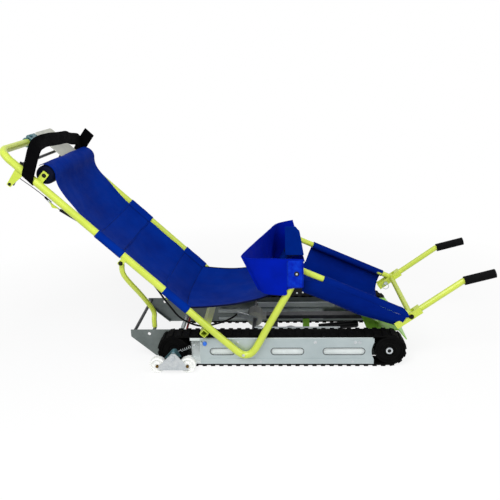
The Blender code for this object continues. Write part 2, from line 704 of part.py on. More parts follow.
def build_casters(parent, axes, wheel_axes):
    """A sprung carriage on each end of the rear axle, with two wheels."""
    half_base = CASTER_WHEELBASE / 2
    hub = HUB_RADIUS + CASTER_PLATE
    foot = WHEEL_PIN_RADIUS * 2.2
    loop = []
    for i in range(9):
        a = math.pi * i / 8
        loop.append((hub * math.cos(a), hub * math.sin(a)))
    for x in (-half_base, half_base):
        for i in range(7):
            a = math.pi * (0.85 if x < 0 else 1.5) + math.pi * 0.65 * i / 6
            loop.append((x + foot * math.cos(a), -CASTER_DROP + foot * math.sin(a)))
    hole = circle(0, 0, AXLE_RADIUS + PIN_CLEARANCE)
    for name, sign in SIDES:
        axis = axes[name]
        fork = place("caster_carriage_" + name, outline_mesh([loop, hole], CASTER_PLATE), "zinc", axis,
                     (0, sign * CASTER_PLATE_Y, 0), WORLD_UP)
        pin_length = CASTER_WHEEL_WIDTH + RUNNING_GAP + CASTER_PLATE / 2
        pin_y = CASTER_PLATE_Y - pin_length / 2
        stud_length = CASTER_PLATE_Y - SPRING_Y + WHEEL_WIDTH / 2
        stud_y = CASTER_PLATE_Y - stud_length / 2
        for x in (-half_base, half_base):
            join_mesh(fork, rod_mesh(WHEEL_PIN_RADIUS, pin_length), (x, sign * pin_y, -CASTER_DROP), AXIS_Y)
        foot_pin = spring_foot()
        stud = rod_mesh(SPRING_STUD_RADIUS, stud_length, 10)
        join_mesh(fork, stud, (foot_pin.x, sign * stud_y, foot_pin.y), AXIS_Y)
        for end in ("rear", "front"):
            wheel(f"caster_wheel_{name}_{end}", wheel_axes[name, end], CASTER_WHEEL_WIDTH)
        build_spring(name, sign, parent)


def spring_foot():
    """Where the spring hooks on the carriage, from the axle."""
    reach = HUB_RADIUS + CASTER_PLATE - SPRING_STUD_RADIUS
    return Vector((math.cos(SPRING_FOOT_ANGLE), math.sin(SPRING_FOOT_ANGLE))) * reach


def build_spring(name, sign, parent):
    """The return spring of a caster carriage, wound between the side plate and the carriage."""
    anchor = Vector((SPRING_ANCHOR_X, sign * SPRING_Y, SPRING_ANCHOR_Z))
    stud = Vector((REAR_AXLE_X + spring_foot().x, sign * SPRING_Y, AXLE_Z + spring_foot().y))
    toward = (stud - anchor).normalized()
    start = anchor + toward * (ANCHOR_RADIUS + SEAT_GAP)
    end = stud - toward * (SPRING_STUD_RADIUS + SEAT_GAP)
    along = end - start
    first = Vector((0, 1, 0))
    second = along.normalized().cross(first)
    count = SPRING_TURNS * CURL_POINTS
    coil = []
    for i in range(count + 1):
        a = 2 * math.pi * i / CURL_POINTS
        centre = start + along * (0.12 + 0.76 * i / count)
        coil.append(centre + SPRING_RADIUS * (math.cos(a) * first + math.sin(a) * second))
    gap = least_gap(coil, SPRING_WIRE)
    print(f"caster_spring_{name}: least gap {gap * 1000:.2f} mm")
    path = [start] + coil + [end]
    place("caster_spring_" + name, tube_mesh(path, SPRING_WIRE, 1), "zinc", parent)


def build_bogie(axis, wheel_axes):
    """The middle pair of wheels, in line under the spine."""
    half_base = BOGIE_WHEELBASE / 2
    drop = BOGIE_Z - WHEEL_RADIUS - WHEEL_LIFT
    foot = WHEEL_PIN_RADIUS * 2.2
    loop = [(-half_base - foot, -drop - foot), (half_base + foot, -drop - foot), (half_base + foot, -drop + foot)]
    loop += [(foot, foot), (-foot, foot), (-half_base - foot, -drop + foot)]
    plate_y = WHEEL_WIDTH / 2 + RUNNING_GAP + BOGIE_PLATE / 2
    bogie = place("centre_bogie", outline_mesh([loop], BOGIE_PLATE), "zinc", axis, (0, plate_y, 0), WORLD_UP)
    pin_length = WHEEL_WIDTH + RUNNING_GAP + BOGIE_PLATE / 2
    for x in (-half_base, half_base):
        join_mesh(bogie, rod_mesh(WHEEL_PIN_RADIUS, pin_length), (x, plate_y - pin_length / 2, -drop), AXIS_Y)
    pivot = BOGIE_PLATE + RUNNING_GAP + BOGIE_PLATE
    join_mesh(bogie, rod_mesh(WHEEL_PIN_RADIUS, pivot), (0, plate_y + pivot / 2 - BOGIE_PLATE / 4, 0), AXIS_Y)
    for end in ("rear", "front"):
        wheel("centre_wheel_" + end, wheel_axes[end], WHEEL_WIDTH)


def build_brake(parent, arm_axis):
    """The braked shaft, its finned housing and arm, the spine and the belt tension strut."""
    span = 2 * (INNER_FACE_Y + PLATE_THICKNESS)
    place("brake_shaft", rod_mesh(SHAFT_RADIUS, span), "steel", parent, (GOVERNOR_X, 0, GOVERNOR_Z), AXIS_Y)
    half = GOVERNOR_LENGTH / 2
    bore = SHAFT_RADIUS + SEAT_GAP
    step = GOVERNOR_LENGTH / (2 * GOVERNOR_FINS + 1)
    profile = [(bore, half)]
    for i in range(2 * GOVERNOR_FINS + 1):
        radius = GOVERNOR_RADIUS - (FIN_DEPTH if i % 2 else 0.0)
        profile.append((radius, half - i * step))
        profile.append((radius, half - (i + 1) * step))
    profile.append((bore, -half))
    housing = turned_piece("brake_housing", profile, "grey", parent, (GOVERNOR_X, 0, GOVERNOR_Z), DRUM_SIDES)
    block_x = GOVERNOR_X + GOVERNOR_RADIUS - FIN_DEPTH + BRAKE_BLOCK / 2
    join_mesh(housing, box_mesh((BRAKE_BLOCK, SPINE_WIDTH, SPINE_DEPTH)), (block_x - FIN_DEPTH, 0, SPINE_Z))
    spine_start = block_x - FIN_DEPTH + BRAKE_BLOCK / 2 + SEAT_GAP
    spine_end = BRACKET_START_X - SEAT_GAP
    spine = place("spine", box_mesh((spine_end - spine_start, SPINE_WIDTH, SPINE_DEPTH)), "steel", parent,
                  ((spine_start + spine_end) / 2, 0, SPINE_Z))
    hanger_y = WHEEL_WIDTH / 2 + 2 * RUNNING_GAP + 1.5 * BOGIE_PLATE
    hanger_top = SPINE_Z
    hanger_bottom = BOGIE_Z - 2.5 * WHEEL_PIN_RADIUS
    hanger_height = hanger_top - hanger_bottom
    hanger = box_mesh((6 * WHEEL_PIN_RADIUS, BOGIE_PLATE, hanger_height))
    join_mesh(spine, hanger, (BOGIE_X, hanger_y, (hanger_top + hanger_bottom) / 2))
    pivot_hole = rod_mesh(WHEEL_PIN_RADIUS + PIN_CLEARANCE, 3 * BOGIE_PLATE)
    cut_mesh(spine, pivot_hole, (BOGIE_X, hanger_y, BOGIE_Z), AXIS_Y)
    bracket_top = SPINE_Z - SPINE_DEPTH / 2 - SEAT_GAP
    bracket_height = bracket_top - STRUT_BRACKET_BOTTOM
    place("strut_bracket", box_mesh((STRUT_BRACKET_LENGTH, SPINE_WIDTH, bracket_height)), "lime", parent,
          (STRUT_BRACKET_X, 0, (bracket_top + STRUT_BRACKET_BOTTOM) / 2))
    build_strut(parent)
    arm_y = -(GOVERNOR_LENGTH / 2 + RUNNING_GAP + ARM_THICKNESS / 2)
    boss = SHAFT_RADIUS + PIN_CLEARANCE + BRACKET_THICKNESS
    tip = Vector((-ARM_REACH, ARM_RISE))
    side = Vector((-tip.y, tip.x)).normalized() * ARM_WIDTH / 2
    loop = []
    for i in range(13):
        a = math.atan2(side.y, side.x) + math.pi * i / 12
        loop.append((boss * math.cos(a), boss * math.sin(a)))
    loop += [tuple(tip - side), tuple(tip + side)]
    hole = circle(0, 0, SHAFT_RADIUS + PIN_CLEARANCE)
    place("brake_arm", outline_mesh([loop, hole], ARM_THICKNESS), "zinc", arm_axis, (0, arm_y, 0), WORLD_UP)


def build_strut(parent):
    """The tension strut between the spine's bracket and the front bracket."""
    start_x = STRUT_BRACKET_X + STRUT_BRACKET_LENGTH / 2 + SEAT_GAP
    slope = math.atan2(STRUT_FRONT_Z - STRUT_REAR_Z, STRUT_ROD_LENGTH + STRUT_LENGTH)
    body = STRUT_ROD_LENGTH + STRUT_LENGTH
    profile = [(0.0, body), (STRUT_RADIUS * 0.7, body), (STRUT_RADIUS, body - STRUT_RADIUS * 0.4)]
    profile += [(STRUT_RADIUS, STRUT_ROD_LENGTH), (STRUT_ROD_RADIUS, STRUT_ROD_LENGTH)]
    profile += [(STRUT_ROD_RADIUS, 0.0), (0.0, 0.0)]
    spot = (start_x + STRUT_ROD_RADIUS * math.sin(slope), 0, STRUT_REAR_Z)
    turn = (0, math.pi / 2 - slope, 0)
    turned_piece("tension_strut", profile, "black", parent, spot, ROUND_SIDES, turn)


def build_front_bracket(parent):
    """The folded cross bracket over the front axle."""
    flat_end = FRONT_AXLE_X + BRACKET_FLAT
    nose = FRONT_AXLE_X + BRACKET_NOSE
    fold = [(BRACKET_START_X, BRACKET_Z), (flat_end, BRACKET_Z), (nose, BRACKET_NOSE_Z)]
    strip = ribbon_loop(fold, BRACKET_THICKNESS)
    span = 2 * (INNER_FACE_Y - SEAT_GAP)
    bracket = place("front_bracket", outline_mesh([strip], span), "lime", parent, (0, 0, 0), WORLD_UP)
    rear = FRONT_AXLE_X - TONGUE_REAR
    front = FRONT_AXLE_X - TONGUE_FRONT
    low = BRACKET_Z - BRACKET_THICKNESS / 2
    tongue = ribbon_loop([(rear, TONGUE_TOP), (front, low)], BRACKET_THICKNESS)
    join_mesh(bracket, outline_mesh([tongue], TONGUE_WIDTH), (0, 0, 0), WORLD_UP)
    cheek = [(rear, TONGUE_TOP), (rear + CHEEK_SLANT, CHEEK_BOTTOM), (front, CHEEK_BOTTOM), (front, low)]
    for name, sign in SIDES:
        cheek_y = TONGUE_WIDTH / 2 - BRACKET_THICKNESS / 2
        join_mesh(bracket, outline_mesh([cheek], BRACKET_THICKNESS), (0, sign * cheek_y, 0), WORLD_UP)


def build_back_tube(name, sign, back):
    """One back tube with its foot eye and bolt, the bolster's tab and the prop's ear."""
    y = sign * FRAME_Y
    tube = tube_mesh([(-BACK_LENGTH, y, 0), (-EYE_RADIUS / 2, y, 0)], TUBE_RADIUS)
    piece = place("back_tube_" + name, tube, "lime", back)
    join_mesh(piece, rod_mesh(EYE_RADIUS, 2 * TUBE_RADIUS), (0, y, 0), AXIS_Y)
    bolt_length = FRAME_Y - BELT_Y
    bolt_y = sign * (BELT_Y + bolt_length / 2)
    join_mesh(piece, rod_mesh(EYE_BOLT_RADIUS, bolt_length), (0, bolt_y, 0), AXIS_Y)
    tab_y = sign * (FRAME_INNER_Y + TAB_THICKNESS)
    tab_height = BOLSTER_RISE + TAB_WIDTH / 2
    tab = box_mesh((TAB_WIDTH, TAB_THICKNESS, tab_height))
    join_mesh(piece, tab, (-BOLSTER_AT, tab_y, tab_height / 2))
    ear_y = sign * (FRAME_Y + PROP_RADIUS + RUNNING_GAP + TAB_THICKNESS / 2)
    ear_depth = TUBE_RADIUS + 2 * PROP_RADIUS
    ear = box_mesh((2 * PROP_RADIUS, TAB_THICKNESS, ear_depth))
    join_mesh(piece, ear, (-PROP_AT, ear_y, -ear_depth / 2))


def build_thigh_tube(name, sign, vertex):
    """One thigh tube, and the black plate inside it that carries the knee bolt."""
    y = sign * FRAME_Y
    knee = Vector((KNEE_X - VERTEX_X, KNEE_Z - VERTEX_Z))
    start = Vector((math.cos(math.pi / 4), math.sin(math.pi / 4))) * (EYE_RADIUS + SEAT_GAP)
    end = knee - knee.normalized() * (KNEE_EYE_RADIUS + SEAT_GAP + RUNNING_GAP)
    bend = knee * THIGH_BEND_AT + Vector(THIGH_BEND)
    path = smooth_path([(start.x, y, start.y), (bend.x, y, bend.y), (end.x, y, end.y)], 6)
    thigh = place("thigh_tube_" + name, tube_mesh(path, TUBE_RADIUS), "lime", vertex)
    seat = rod_mesh(EYE_RADIUS + SEAT_GAP, 4 * TUBE_RADIUS, 2 * ROUND_SIDES)
    cut_mesh(thigh, seat, (0, y, 0), AXIS_Y)
    plate_y = sign * (FRAME_INNER_Y - SEAT_GAP - KNEE_PLATE / 2)
    low = KNEE_PLATE_BOTTOM - KNEE_Z
    loop = [(knee.x + x, knee.y + z) for x, z in KNEE_PLATE_TOP]
    loop += [(knee.x + x, knee.y + low + z) for x, z in KNEE_PLATE_FOOT]
    hole = circle(knee.x, knee.y, KNEE_BOLT_RADIUS + PIN_CLEARANCE)
    plate = outline_mesh([loop, hole], KNEE_PLATE)
    place("knee_plate_" + name, plate, "black", vertex, (0, plate_y, 0), WORLD_UP)


def build_frame_tubes(vertex, back):
    """Back tubes, thigh tubes, knee plates and the square cross tube."""
    for name, sign in SIDES:
        build_back_tube(name, sign, back)
        build_thigh_tube(name, sign, vertex)
    side = CROSS_TUBE_SIDE / 2
    inner = side - CROSS_TUBE_WALL
    square = [(-side, -side), (side, -side), (side, side), (-side, side)]
    bore = [(-inner, -inner), (inner, -inner), (inner, inner), (-inner, inner)]
    place("cross_tube", outline_mesh([square, bore], 2 * FRAME_OUTER_Y), "lime", back,
          (-CROSS_TUBE_AT, 0, -TUBE_RADIUS - SEAT_GAP - side), WORLD_UP)


def build_push_bar(back):
    """The bent push bar with the two plates that carry the brake bar."""
    start = BACK_LENGTH + SEAT_GAP
    corner = PUSH_BAR_CORNER
    end = PUSH_BAR_REACH
    half = [(-start, FRAME_Y, 0), (-end + corner * 1.3, FRAME_Y, 0), (-end + corner * 0.85, FRAME_Y, 0)]
    half += [(-end + corner * 0.25, FRAME_Y - corner * 0.25, 0), (-end, FRAME_Y - corner * 0.85, 0)]
    half += [(-end, FRAME_Y - corner * 1.4, 0), (-end, FRAME_Y / 2, 0)]
    other = [(x, -y, z) for x, y, z in reversed(half)]
    bar = place("push_bar", tube_mesh(smooth_path(half + other, 4), TUBE_RADIUS), "lime", back)
    depth = GUSSET_DEPTH + GUSSET_TIP
    loop = [(-GUSSET_AT - GUSSET_TIP, -depth), (-GUSSET_AT + GUSSET_TIP, -depth)]
    loop += [(-GUSSET_AT + GUSSET_WIDTH / 2, 0.0), (-GUSSET_AT - GUSSET_WIDTH / 2, 0.0)]
    hole = circle(-GUSSET_AT, -GUSSET_DEPTH, BRAKE_PIN_RADIUS + PIN_CLEARANCE, 12)
    for name, sign in SIDES:
        join_mesh(bar, outline_mesh([loop, hole], GUSSET_THICKNESS), (0, sign * FRAME_Y, 0), WORLD_UP)


def build_brake_bar(axis):
    """The squeeze bar below the push bar, on two arms pinned to the gusset plates."""
    rise = math.hypot(GUSSET_DEPTH + BRAKE_ROD_RISE, BRAKE_ROD_AHEAD)
    span = 2 * (BRAKE_ARM_Y + BRAKE_ARM_THICKNESS / 2)
    bar = place("brake_bar", rod_mesh(BRAKE_ROD_RADIUS, span), "steel", axis, (0, 0, rise), AXIS_Y)
    for name, sign in SIDES:
        arm = box_mesh((BRAKE_ARM_WIDTH, BRAKE_ARM_THICKNESS, rise + BRAKE_ARM_WIDTH))
        join_mesh(bar, arm, (0, sign * BRAKE_ARM_Y, rise / 2))
        pin_length = FRAME_Y + GUSSET_THICKNESS / 2 - BRAKE_ARM_Y
        pin_y = sign * (BRAKE_ARM_Y + pin_length / 2)
        join_mesh(bar, rod_mesh(BRAKE_PIN_RADIUS, pin_length, 12), (0, pin_y, 0), AXIS_Y)


def sag_line(half_width, depth, edge, steps=10, power=2.0, span=FRAME_Y):
    """A sagging line across the frame."""
    line = []
    for i in range(steps + 1):
        y = -half_width + 2 * half_width * i / steps
        line.append((y, edge - depth * (1.0 - abs(y / span) ** power)))
    return line


def sling_rows():
    """Rows of the back panel, hung between the tubes and then led up over the bolster."""
    half = FRAME_INNER_Y - SLING_SIDE_GAP
    flat = sag_line(half, SLING_SAG, SLING_EDGE)
    wrap = BOLSTER_RADIUS * BOLSTER_CROWN + RUNNING_GAP + SLING_THICKNESS / 2
    rows = []
    for i in range(SLING_STEPS + 1):
        at = SLING_BOTTOM_AT + (SLING_LIFT_AT - SLING_BOTTOM_AT) * i / SLING_STEPS
        rows.append([(-at, y, z) for y, z in flat])
    top_at = BOLSTER_AT - wrap * math.cos(SLING_MEETS)
    top_z = BOLSTER_RISE + wrap * math.sin(SLING_MEETS)
    for i in range(1, SLING_STEPS):
        t = i / SLING_STEPS
        at = SLING_LIFT_AT + (top_at - SLING_LIFT_AT) * t
        rows.append([(-at, y, z + (top_z - z) * t) for y, z in flat])
    for i in range(SLING_STEPS + 1):
        a = SLING_MEETS + (SLING_LEAVES - SLING_MEETS) * i / SLING_STEPS
        rows.append([(-BOLSTER_AT + wrap * math.cos(a), y, BOLSTER_RISE + wrap * math.sin(a)) for y, z in flat])
    return rows


def build_back_sling(back):
    """The hung back panel with two bands wrapped round both tubes."""
    sling = sheet_piece("back_sling", sling_rows(), SLING_THICKNESS, "blue", back)
    wrap = TUBE_RADIUS + SEAT_GAP + SLING_THICKNESS
    for low, high in (UPPER_BAND, LOWER_BAND):
        centre = -(low + high) / 2
        band = ribbon_loop(sag_line(FRAME_Y - TUBE_RADIUS / 2, SLING_SAG, SLING_EDGE), BAND_THICKNESS)
        join_mesh(sling, outline_mesh([band], high - low), (centre, 0, 0), ALONG_X)
        for name, sign in SIDES:
            cuff = rod_mesh(wrap, high - low, ROUND_SIDES)
            join_mesh(sling, cuff, (centre, sign * FRAME_Y, 0), (0, math.pi / 2, 0))
    for name, sign in SIDES:
        bore = rod_mesh(TUBE_RADIUS + SEAT_GAP, 2 * BACK_LENGTH, ROUND_SIDES)
        cut_mesh(sling, bore, (-BACK_LENGTH / 2, sign * FRAME_Y, 0), (0, math.pi / 2, 0))


def build_seat_sling(vertex):
    """The seat panel from the back sling's foot to the knee plates."""
    turn = Matrix.Rotation(BACK_ANGLE, 4, 'Y')
    rear_half = FRAME_INNER_Y - SLING_SIDE_GAP
    front_half = SLEEVE_INNER_Y - SLING_THICKNESS / 2 - SEAT_GAP
    at = -SLING_BOTTOM_AT + SEAT_GAP + SLING_THICKNESS / 3
    rear = [turn @ Vector((at, y, z)) for y, z in sag_line(rear_half, SLING_SAG, SLING_EDGE)]
    front_x = KNEE_X - VERTEX_X - SEAT_FRONT_BACK
    front_z = KNEE_PLATE_BOTTOM - VERTEX_Z + 2 * SLING_THICKNESS
    rows = []
    for i in range(SEAT_ROWS + 1):
        t = i / SEAT_ROWS
        row = []
        for point in rear:
            side = point.y / rear_half
            dip = SEAT_DIP * math.sin(math.pi * min(1.0, t * 1.05)) * (0.6 + 0.4 * (1.0 - side * side))
            x = point.x + (front_x - point.x) * t
            z = point.z + (front_z - point.z) * t ** 1.6 - dip
            row.append((x, side * (rear_half + (front_half - rear_half) * min(1.0, t * SEAT_TAPER)), z))
        rows.append(row)
    sheet_piece("seat_sling", rows, SLING_THICKNESS, "blue", vertex)


def build_head_pieces(back):
    """The bolster, the head strap and the bare plate clamped to the push bar."""
    length = FRAME_INNER_Y + TAB_THICKNESS / 2 - SEAT_GAP
    edge = BOLSTER_RADIUS * BOLSTER_ROUNDING
    end = [(0.0, length), (BOLSTER_RADIUS - edge, length)]
    end += [(BOLSTER_RADIUS - edge * 0.3, length - edge * 0.3), (BOLSTER_RADIUS, length - edge)]
    profile = end + [(BOLSTER_RADIUS * BOLSTER_CROWN, 0.0)] + [(r, -y) for r, y in reversed(end)]
    turned_piece("head_bolster", profile, "blue", back, (-BOLSTER_AT, 0, BOLSTER_RISE), WHEEL_SIDES)
    reach = FRAME_OUTER_Y + SEAT_GAP + STRAP_THICKNESS / 2
    knots = [(-reach, -TUBE_RADIUS, 0.0)] + [(reach * y, STRAP_RISE * rise, 0.0) for y, rise in STRAP_SHARES]
    knots.append((reach, STRAP_RISE * STRAP_MEETS, 0.0))
    band = [(p.x, p.y) for p in smooth_path(knots, 3)]
    lean = axis_empty("head_strap_lean", back, (-STRAP_AT, 0, 0), STRAP_LEAN)
    loop = outline_mesh([ribbon_loop(band, STRAP_THICKNESS)], STRAP_WIDTH)
    strap = place("head_strap", loop, "black", lean, (0, 0, 0), ALONG_X)
    tail = [(reach, -TUBE_RADIUS), (reach, STRAP_TAIL * 0.5), (reach, STRAP_TAIL)]
    join_mesh(strap, outline_mesh([ribbon_loop(tail, STRAP_THICKNESS)], STRAP_WIDTH), (0, 0, 0), ALONG_X)
    plate_x = HEAD_PLATE_LENGTH / 2 - PUSH_BAR_REACH - HEAD_PLATE_AHEAD
    flat = box_mesh((HEAD_PLATE_LENGTH, HEAD_PLATE_WIDTH, PLATE_THICKNESS))
    plate = place("head_plate", flat, "grey", back, (plate_x, HEAD_PLATE_Y, HEAD_PLATE_RISE))
    saddle = box_mesh((SADDLE_WIDTH, SADDLE_LENGTH, HEAD_PLATE_RISE))
    join_mesh(plate, saddle, (-PUSH_BAR_REACH, SADDLE_Y, HEAD_PLATE_RISE / 2))
    bore = rod_mesh(TUBE_RADIUS + SEAT_GAP, 2 * SADDLE_LENGTH, 2 * ROUND_SIDES)
    cut_mesh(plate, bore, (-PUSH_BAR_REACH, SADDLE_Y, 0), AXIS_Y)


def build_thigh_belt(vertex):
    """The wide belt that stands in a loop round the lap, with a sleeve over the knee at each side."""
    reach = FRAME_OUTER_Y + SEAT_GAP + SLING_THICKNESS / 2
    front = THIGH_BELT_FRONT_X - VERTEX_X
    top = THIGH_BELT_TOP - VERTEX_Z
    low = THIGH_BELT_BOTTOM - VERTEX_Z
    height = top - low
    upper = [(front * x, reach * (inset - 1.0), top) for x, inset in NEAR_RIM]
    upper += [(front * x, reach * (1.0 - inset), top) for x, inset in FAR_RIM]
    lower = [(front * x, reach * (inset - 1.0), low + height * rise) for x, inset, rise in NEAR_FOOT]
    lower += [(front * x, reach * (1.0 - inset), low + height * rise) for x, inset, rise in FAR_FOOT]
    rows = []
    for a, b in zip(smooth_path(lower, 3), smooth_path(upper, 3)):
        rows.append([tuple(a.lerp(b, i / BELT_ROWS)) for i in range(BELT_ROWS + 1)])
    belt = sheet_piece("thigh_belt", rows, SLING_THICKNESS, "blue", vertex)
    roof = top - SLING_THICKNESS
    loop = [(front * x, low + (roof - low) * z) for x, z in SLEEVE_WALL]
    rear = loop[-1][0]
    lid_length = loop[-2][0] - rear
    lid_y = (reach + SLEEVE_INNER_Y) / 2
    lid_width = reach - SLEEVE_INNER_Y + SLING_THICKNESS / 2
    for name, sign in SIDES:
        wall = outline_mesh([loop], SLING_THICKNESS)
        join_mesh(belt, wall, (0, sign * SLEEVE_INNER_Y, 0), WORLD_UP)
        lid = box_mesh((lid_length, lid_width, SLING_THICKNESS))
        join_mesh(belt, lid, (rear + lid_length / 2, sign * lid_y, roof))


def build_props(axes):
    """The two struts that hold the back up, from an eye under the back tube to a rest on the chassis."""
    turn = Matrix.Rotation(-BACK_ANGLE, 4, 'Y')
    pivot = Matrix.Rotation(BACK_ANGLE, 4, 'Y') @ Vector((-PROP_AT, 0, -TUBE_RADIUS - SEAT_GAP - PROP_RADIUS))
    foot_z = PROP_REST_Z + PROP_REST_RADIUS + SEAT_GAP
    foot = Vector((PROP_FOOT_X - VERTEX_X - pivot.x, 0, foot_z - VERTEX_Z - pivot.z))
    shift = FRAME_Y - PROP_INNER_Y
    for name, sign in SIDES:
        path = [(foot.x * x, sign * (FRAME_Y + shift * y), foot.z * z) for x, y, z in PROP_SHARES]
        points = [turn @ p for p in smooth_path(path, 4)]
        prop = place("prop_" + name, tube_mesh(points, PROP_RADIUS, 2), "lime", axes[name])
        join_mesh(prop, rod_mesh(PROP_RADIUS, 2 * PROP_RADIUS), (0, sign * FRAME_Y, 0), AXIS_Y)


def build_brake_cable(vertex):
    """The brake cable from the brake bar's arm to the brake arm between the tracks."""
    turn = Matrix.Rotation(BACK_ANGLE, 4, 'Y')
    y = BRAKE_ARM_Y + BRAKE_ARM_THICKNESS / 2 + SEAT_GAP + CABLE_RADIUS * CABLE_WIRE
    arm_face = GOVERNOR_LENGTH / 2 + RUNNING_GAP + ARM_THICKNESS + SEAT_GAP + CABLE_RADIUS
    lean = (GUSSET_DEPTH - CABLE_START_DROP) * math.tan(BRAKE_LEAN)
    upper = [(-GUSSET_AT - lean + BRAKE_ARM_WIDTH / 2, -y, -CABLE_START_DROP)]
    for share, drop in CABLE_SHARES:
        inset = CABLE_RADIUS * 1.5 if share < 0.8 else 0.0
        upper.append((-BACK_LENGTH * share, inset - y, -TUBE_RADIUS * drop))
    lower = [tuple(BACK_LENGTH * v for v in share) for share in CABLE_SLACK]
    lower.append((GOVERNOR_X - ARM_REACH, -arm_face, GOVERNOR_Z + ARM_RISE - VERTEX_Z))
    path = smooth_path([turn @ Vector(p) for p in upper] + [Vector(p) for p in lower], 4)
    widths = [CABLE_WIRE if i < 8 else CABLE_BARREL if i < 13 else 1.0 for i in range(len(path))]
    place("brake_cable", tube_mesh(path, CABLE_RADIUS, 2, widths), "black", vertex)


def build_leg(knee):
    """Leg tubes, their cross bar and the trough-shaped leg sling."""
    middle = (LEG_SLING_FROM + LEG_SLING_TO) / 2
    length = LEG_SLING_TO - LEG_SLING_FROM
    line = sag_line(LEG_Y, LEG_SLING_SAG, SLING_EDGE, 16, TROUGH_POWER, LEG_Y)
    trough = outline_mesh([ribbon_loop(line, SLING_THICKNESS)], length)
    sling = place("leg_sling", trough, "blue", knee, (middle, 0, 0), ALONG_X)
    bolt_length = FRAME_INNER_Y - SEAT_GAP - LEG_Y
    for name, sign in SIDES:
        y = sign * LEG_Y
        tube = tube_mesh([(KNEE_EYE_RADIUS / 2, y, 0), (LEG_LENGTH, y, 0)], LEG_TUBE_RADIUS)
        piece = place("leg_tube_" + name, tube, "lime", knee)
        join_mesh(piece, rod_mesh(KNEE_EYE_RADIUS, 2 * LEG_TUBE_RADIUS), (0, y, 0), AXIS_Y)
        bolt_y = sign * (LEG_Y + bolt_length / 2)
        join_mesh(piece, rod_mesh(KNEE_BOLT_RADIUS, bolt_length), (0, bolt_y, 0), AXIS_Y)
        foot_eye = rod_mesh(LEG_TUBE_RADIUS * FOOT_EYE, 2 * LEG_TUBE_RADIUS)
        join_mesh(piece, foot_eye, (LEG_LENGTH, y, 0), AXIS_Y)
        sleeve = rod_mesh(LEG_TUBE_RADIUS + SEAT_GAP + SLING_THICKNESS, length)
        join_mesh(sling, sleeve, (middle, y, 0), (0, math.pi / 2, 0))
    for name, sign in SIDES:
        bore = rod_mesh(LEG_TUBE_RADIUS + SEAT_GAP, 2 * LEG_LENGTH)
        cut_mesh(sling, bore, (middle, sign * LEG_Y, 0), (0, math.pi / 2, 0))
    span = 2 * (LEG_Y - LEG_TUBE_RADIUS - SEAT_GAP)
    place("foot_crossbar", rod_mesh(CROSSBAR_RADIUS, span), "lime", knee, (LEG_LENGTH, 0, 0), AXIS_Y)


def build_handles(axes, pin_axis):
    """The two carrying handles at the foot end, their grips and the ring pin."""
    bend = Vector(HANDLE_BEND)
    out = bend.normalized()
    onward = (Vector(HANDLE_END) - bend).normalized()
    tilt = -math.atan2(bend.y, bend.x)
    eye = LEG_TUBE_RADIUS * FOOT_EYE
    root = out * (CLAMP_AT - CLAMP_LENGTH / 4)
    tip = bend + onward * (GRIP_LENGTH - GRIP_WALL)
    grip_start = bend + onward * GRIP_WALL
    grip_end = bend + onward * (GRIP_LENGTH + GRIP_WALL)
    block = out * CLAMP_AT
    cheek_length = CHANNEL_BACK + CLAMP_AT + CLAMP_LENGTH / 2
    cheek_spot = out * (CLAMP_AT + CLAMP_LENGTH / 2 - CHANNEL_BACK) / 2
    block_depth = 2 * CHANNEL_SIDE + TAB_THICKNESS
    pin = -out * LOCK_PIN_BACK
    bore_end = tip + onward * SEAT_GAP
    for name, sign in SIDES:
        y = sign * LEG_Y
        path = [(root.x, y, root.y), (bend.x, y, bend.y), (tip.x, y, tip.y)]
        handle = place("foot_handle_" + name, tube_mesh(path, HANDLE_RADIUS), "lime", axes[name])
        clamp = box_mesh((CLAMP_LENGTH, block_depth, CHANNEL_HEIGHT))
        join_mesh(handle, clamp, (block.x, y, block.y), (0, tilt, 0))
        for step in (-1, 1):
            cheek = box_mesh((cheek_length, TAB_THICKNESS, CHANNEL_HEIGHT))
            cheek_y = sign * (LEG_Y + step * CHANNEL_SIDE)
            join_mesh(handle, cheek, (cheek_spot.x, cheek_y, cheek_spot.y), (0, tilt, 0))
        inner_y = sign * (LEG_Y - CHANNEL_SIDE)
        cut_mesh(handle, rod_mesh(CROSSBAR_RADIUS + SEAT_GAP, 1.5 * TAB_THICKNESS), (0, inner_y, 0), AXIS_Y)
        grip_path = [(grip_start.x, y, grip_start.y), (grip_end.x, y, grip_end.y)]
        grip = tube_mesh(grip_path, HANDLE_RADIUS + GRIP_WALL)
        piece = place("grip_" + name, grip, "black", axes[name])
        bore_path = [(bend.x, y, bend.y), (bore_end.x, y, bore_end.y)]
        cut_mesh(piece, tube_mesh(bore_path, HANDLE_RADIUS + SEAT_GAP))
        if sign > 0:
            hole = rod_mesh(LOCK_PIN_RADIUS + PIN_CLEARANCE, 1.5 * TAB_THICKNESS)
            cut_mesh(handle, hole, (pin.x, inner_y, pin.y), AXIS_Y)
    build_lock_pin(pin_axis)


def build_lock_pin(axis):
    """The pull pin of the left handle, with its ring."""
    deep = LOCK_PIN_DEPTH - PIN_CLEARANCE
    head = LOCK_PIN_RADIUS * 1.8
    profile = [(0.0, deep), (LOCK_PIN_RADIUS, deep), (LOCK_PIN_RADIUS, -SEAT_GAP), (head, -SEAT_GAP)]
    profile += [(head, -2 * LOCK_PIN_RADIUS), (0.0, -2 * LOCK_PIN_RADIUS)]
    pin = turned_piece("lock_pin_left", profile, "zinc", axis, (0, 0, 0), ROUND_SIDES, (-math.pi / 2, 0, 0))
    ring = tube_ring(RING_RADIUS, RING_WIRE)
    join_mesh(pin, ring, (0, -2 * LOCK_PIN_RADIUS + RING_WIRE / 2, -RING_RADIUS), AXIS_Y)


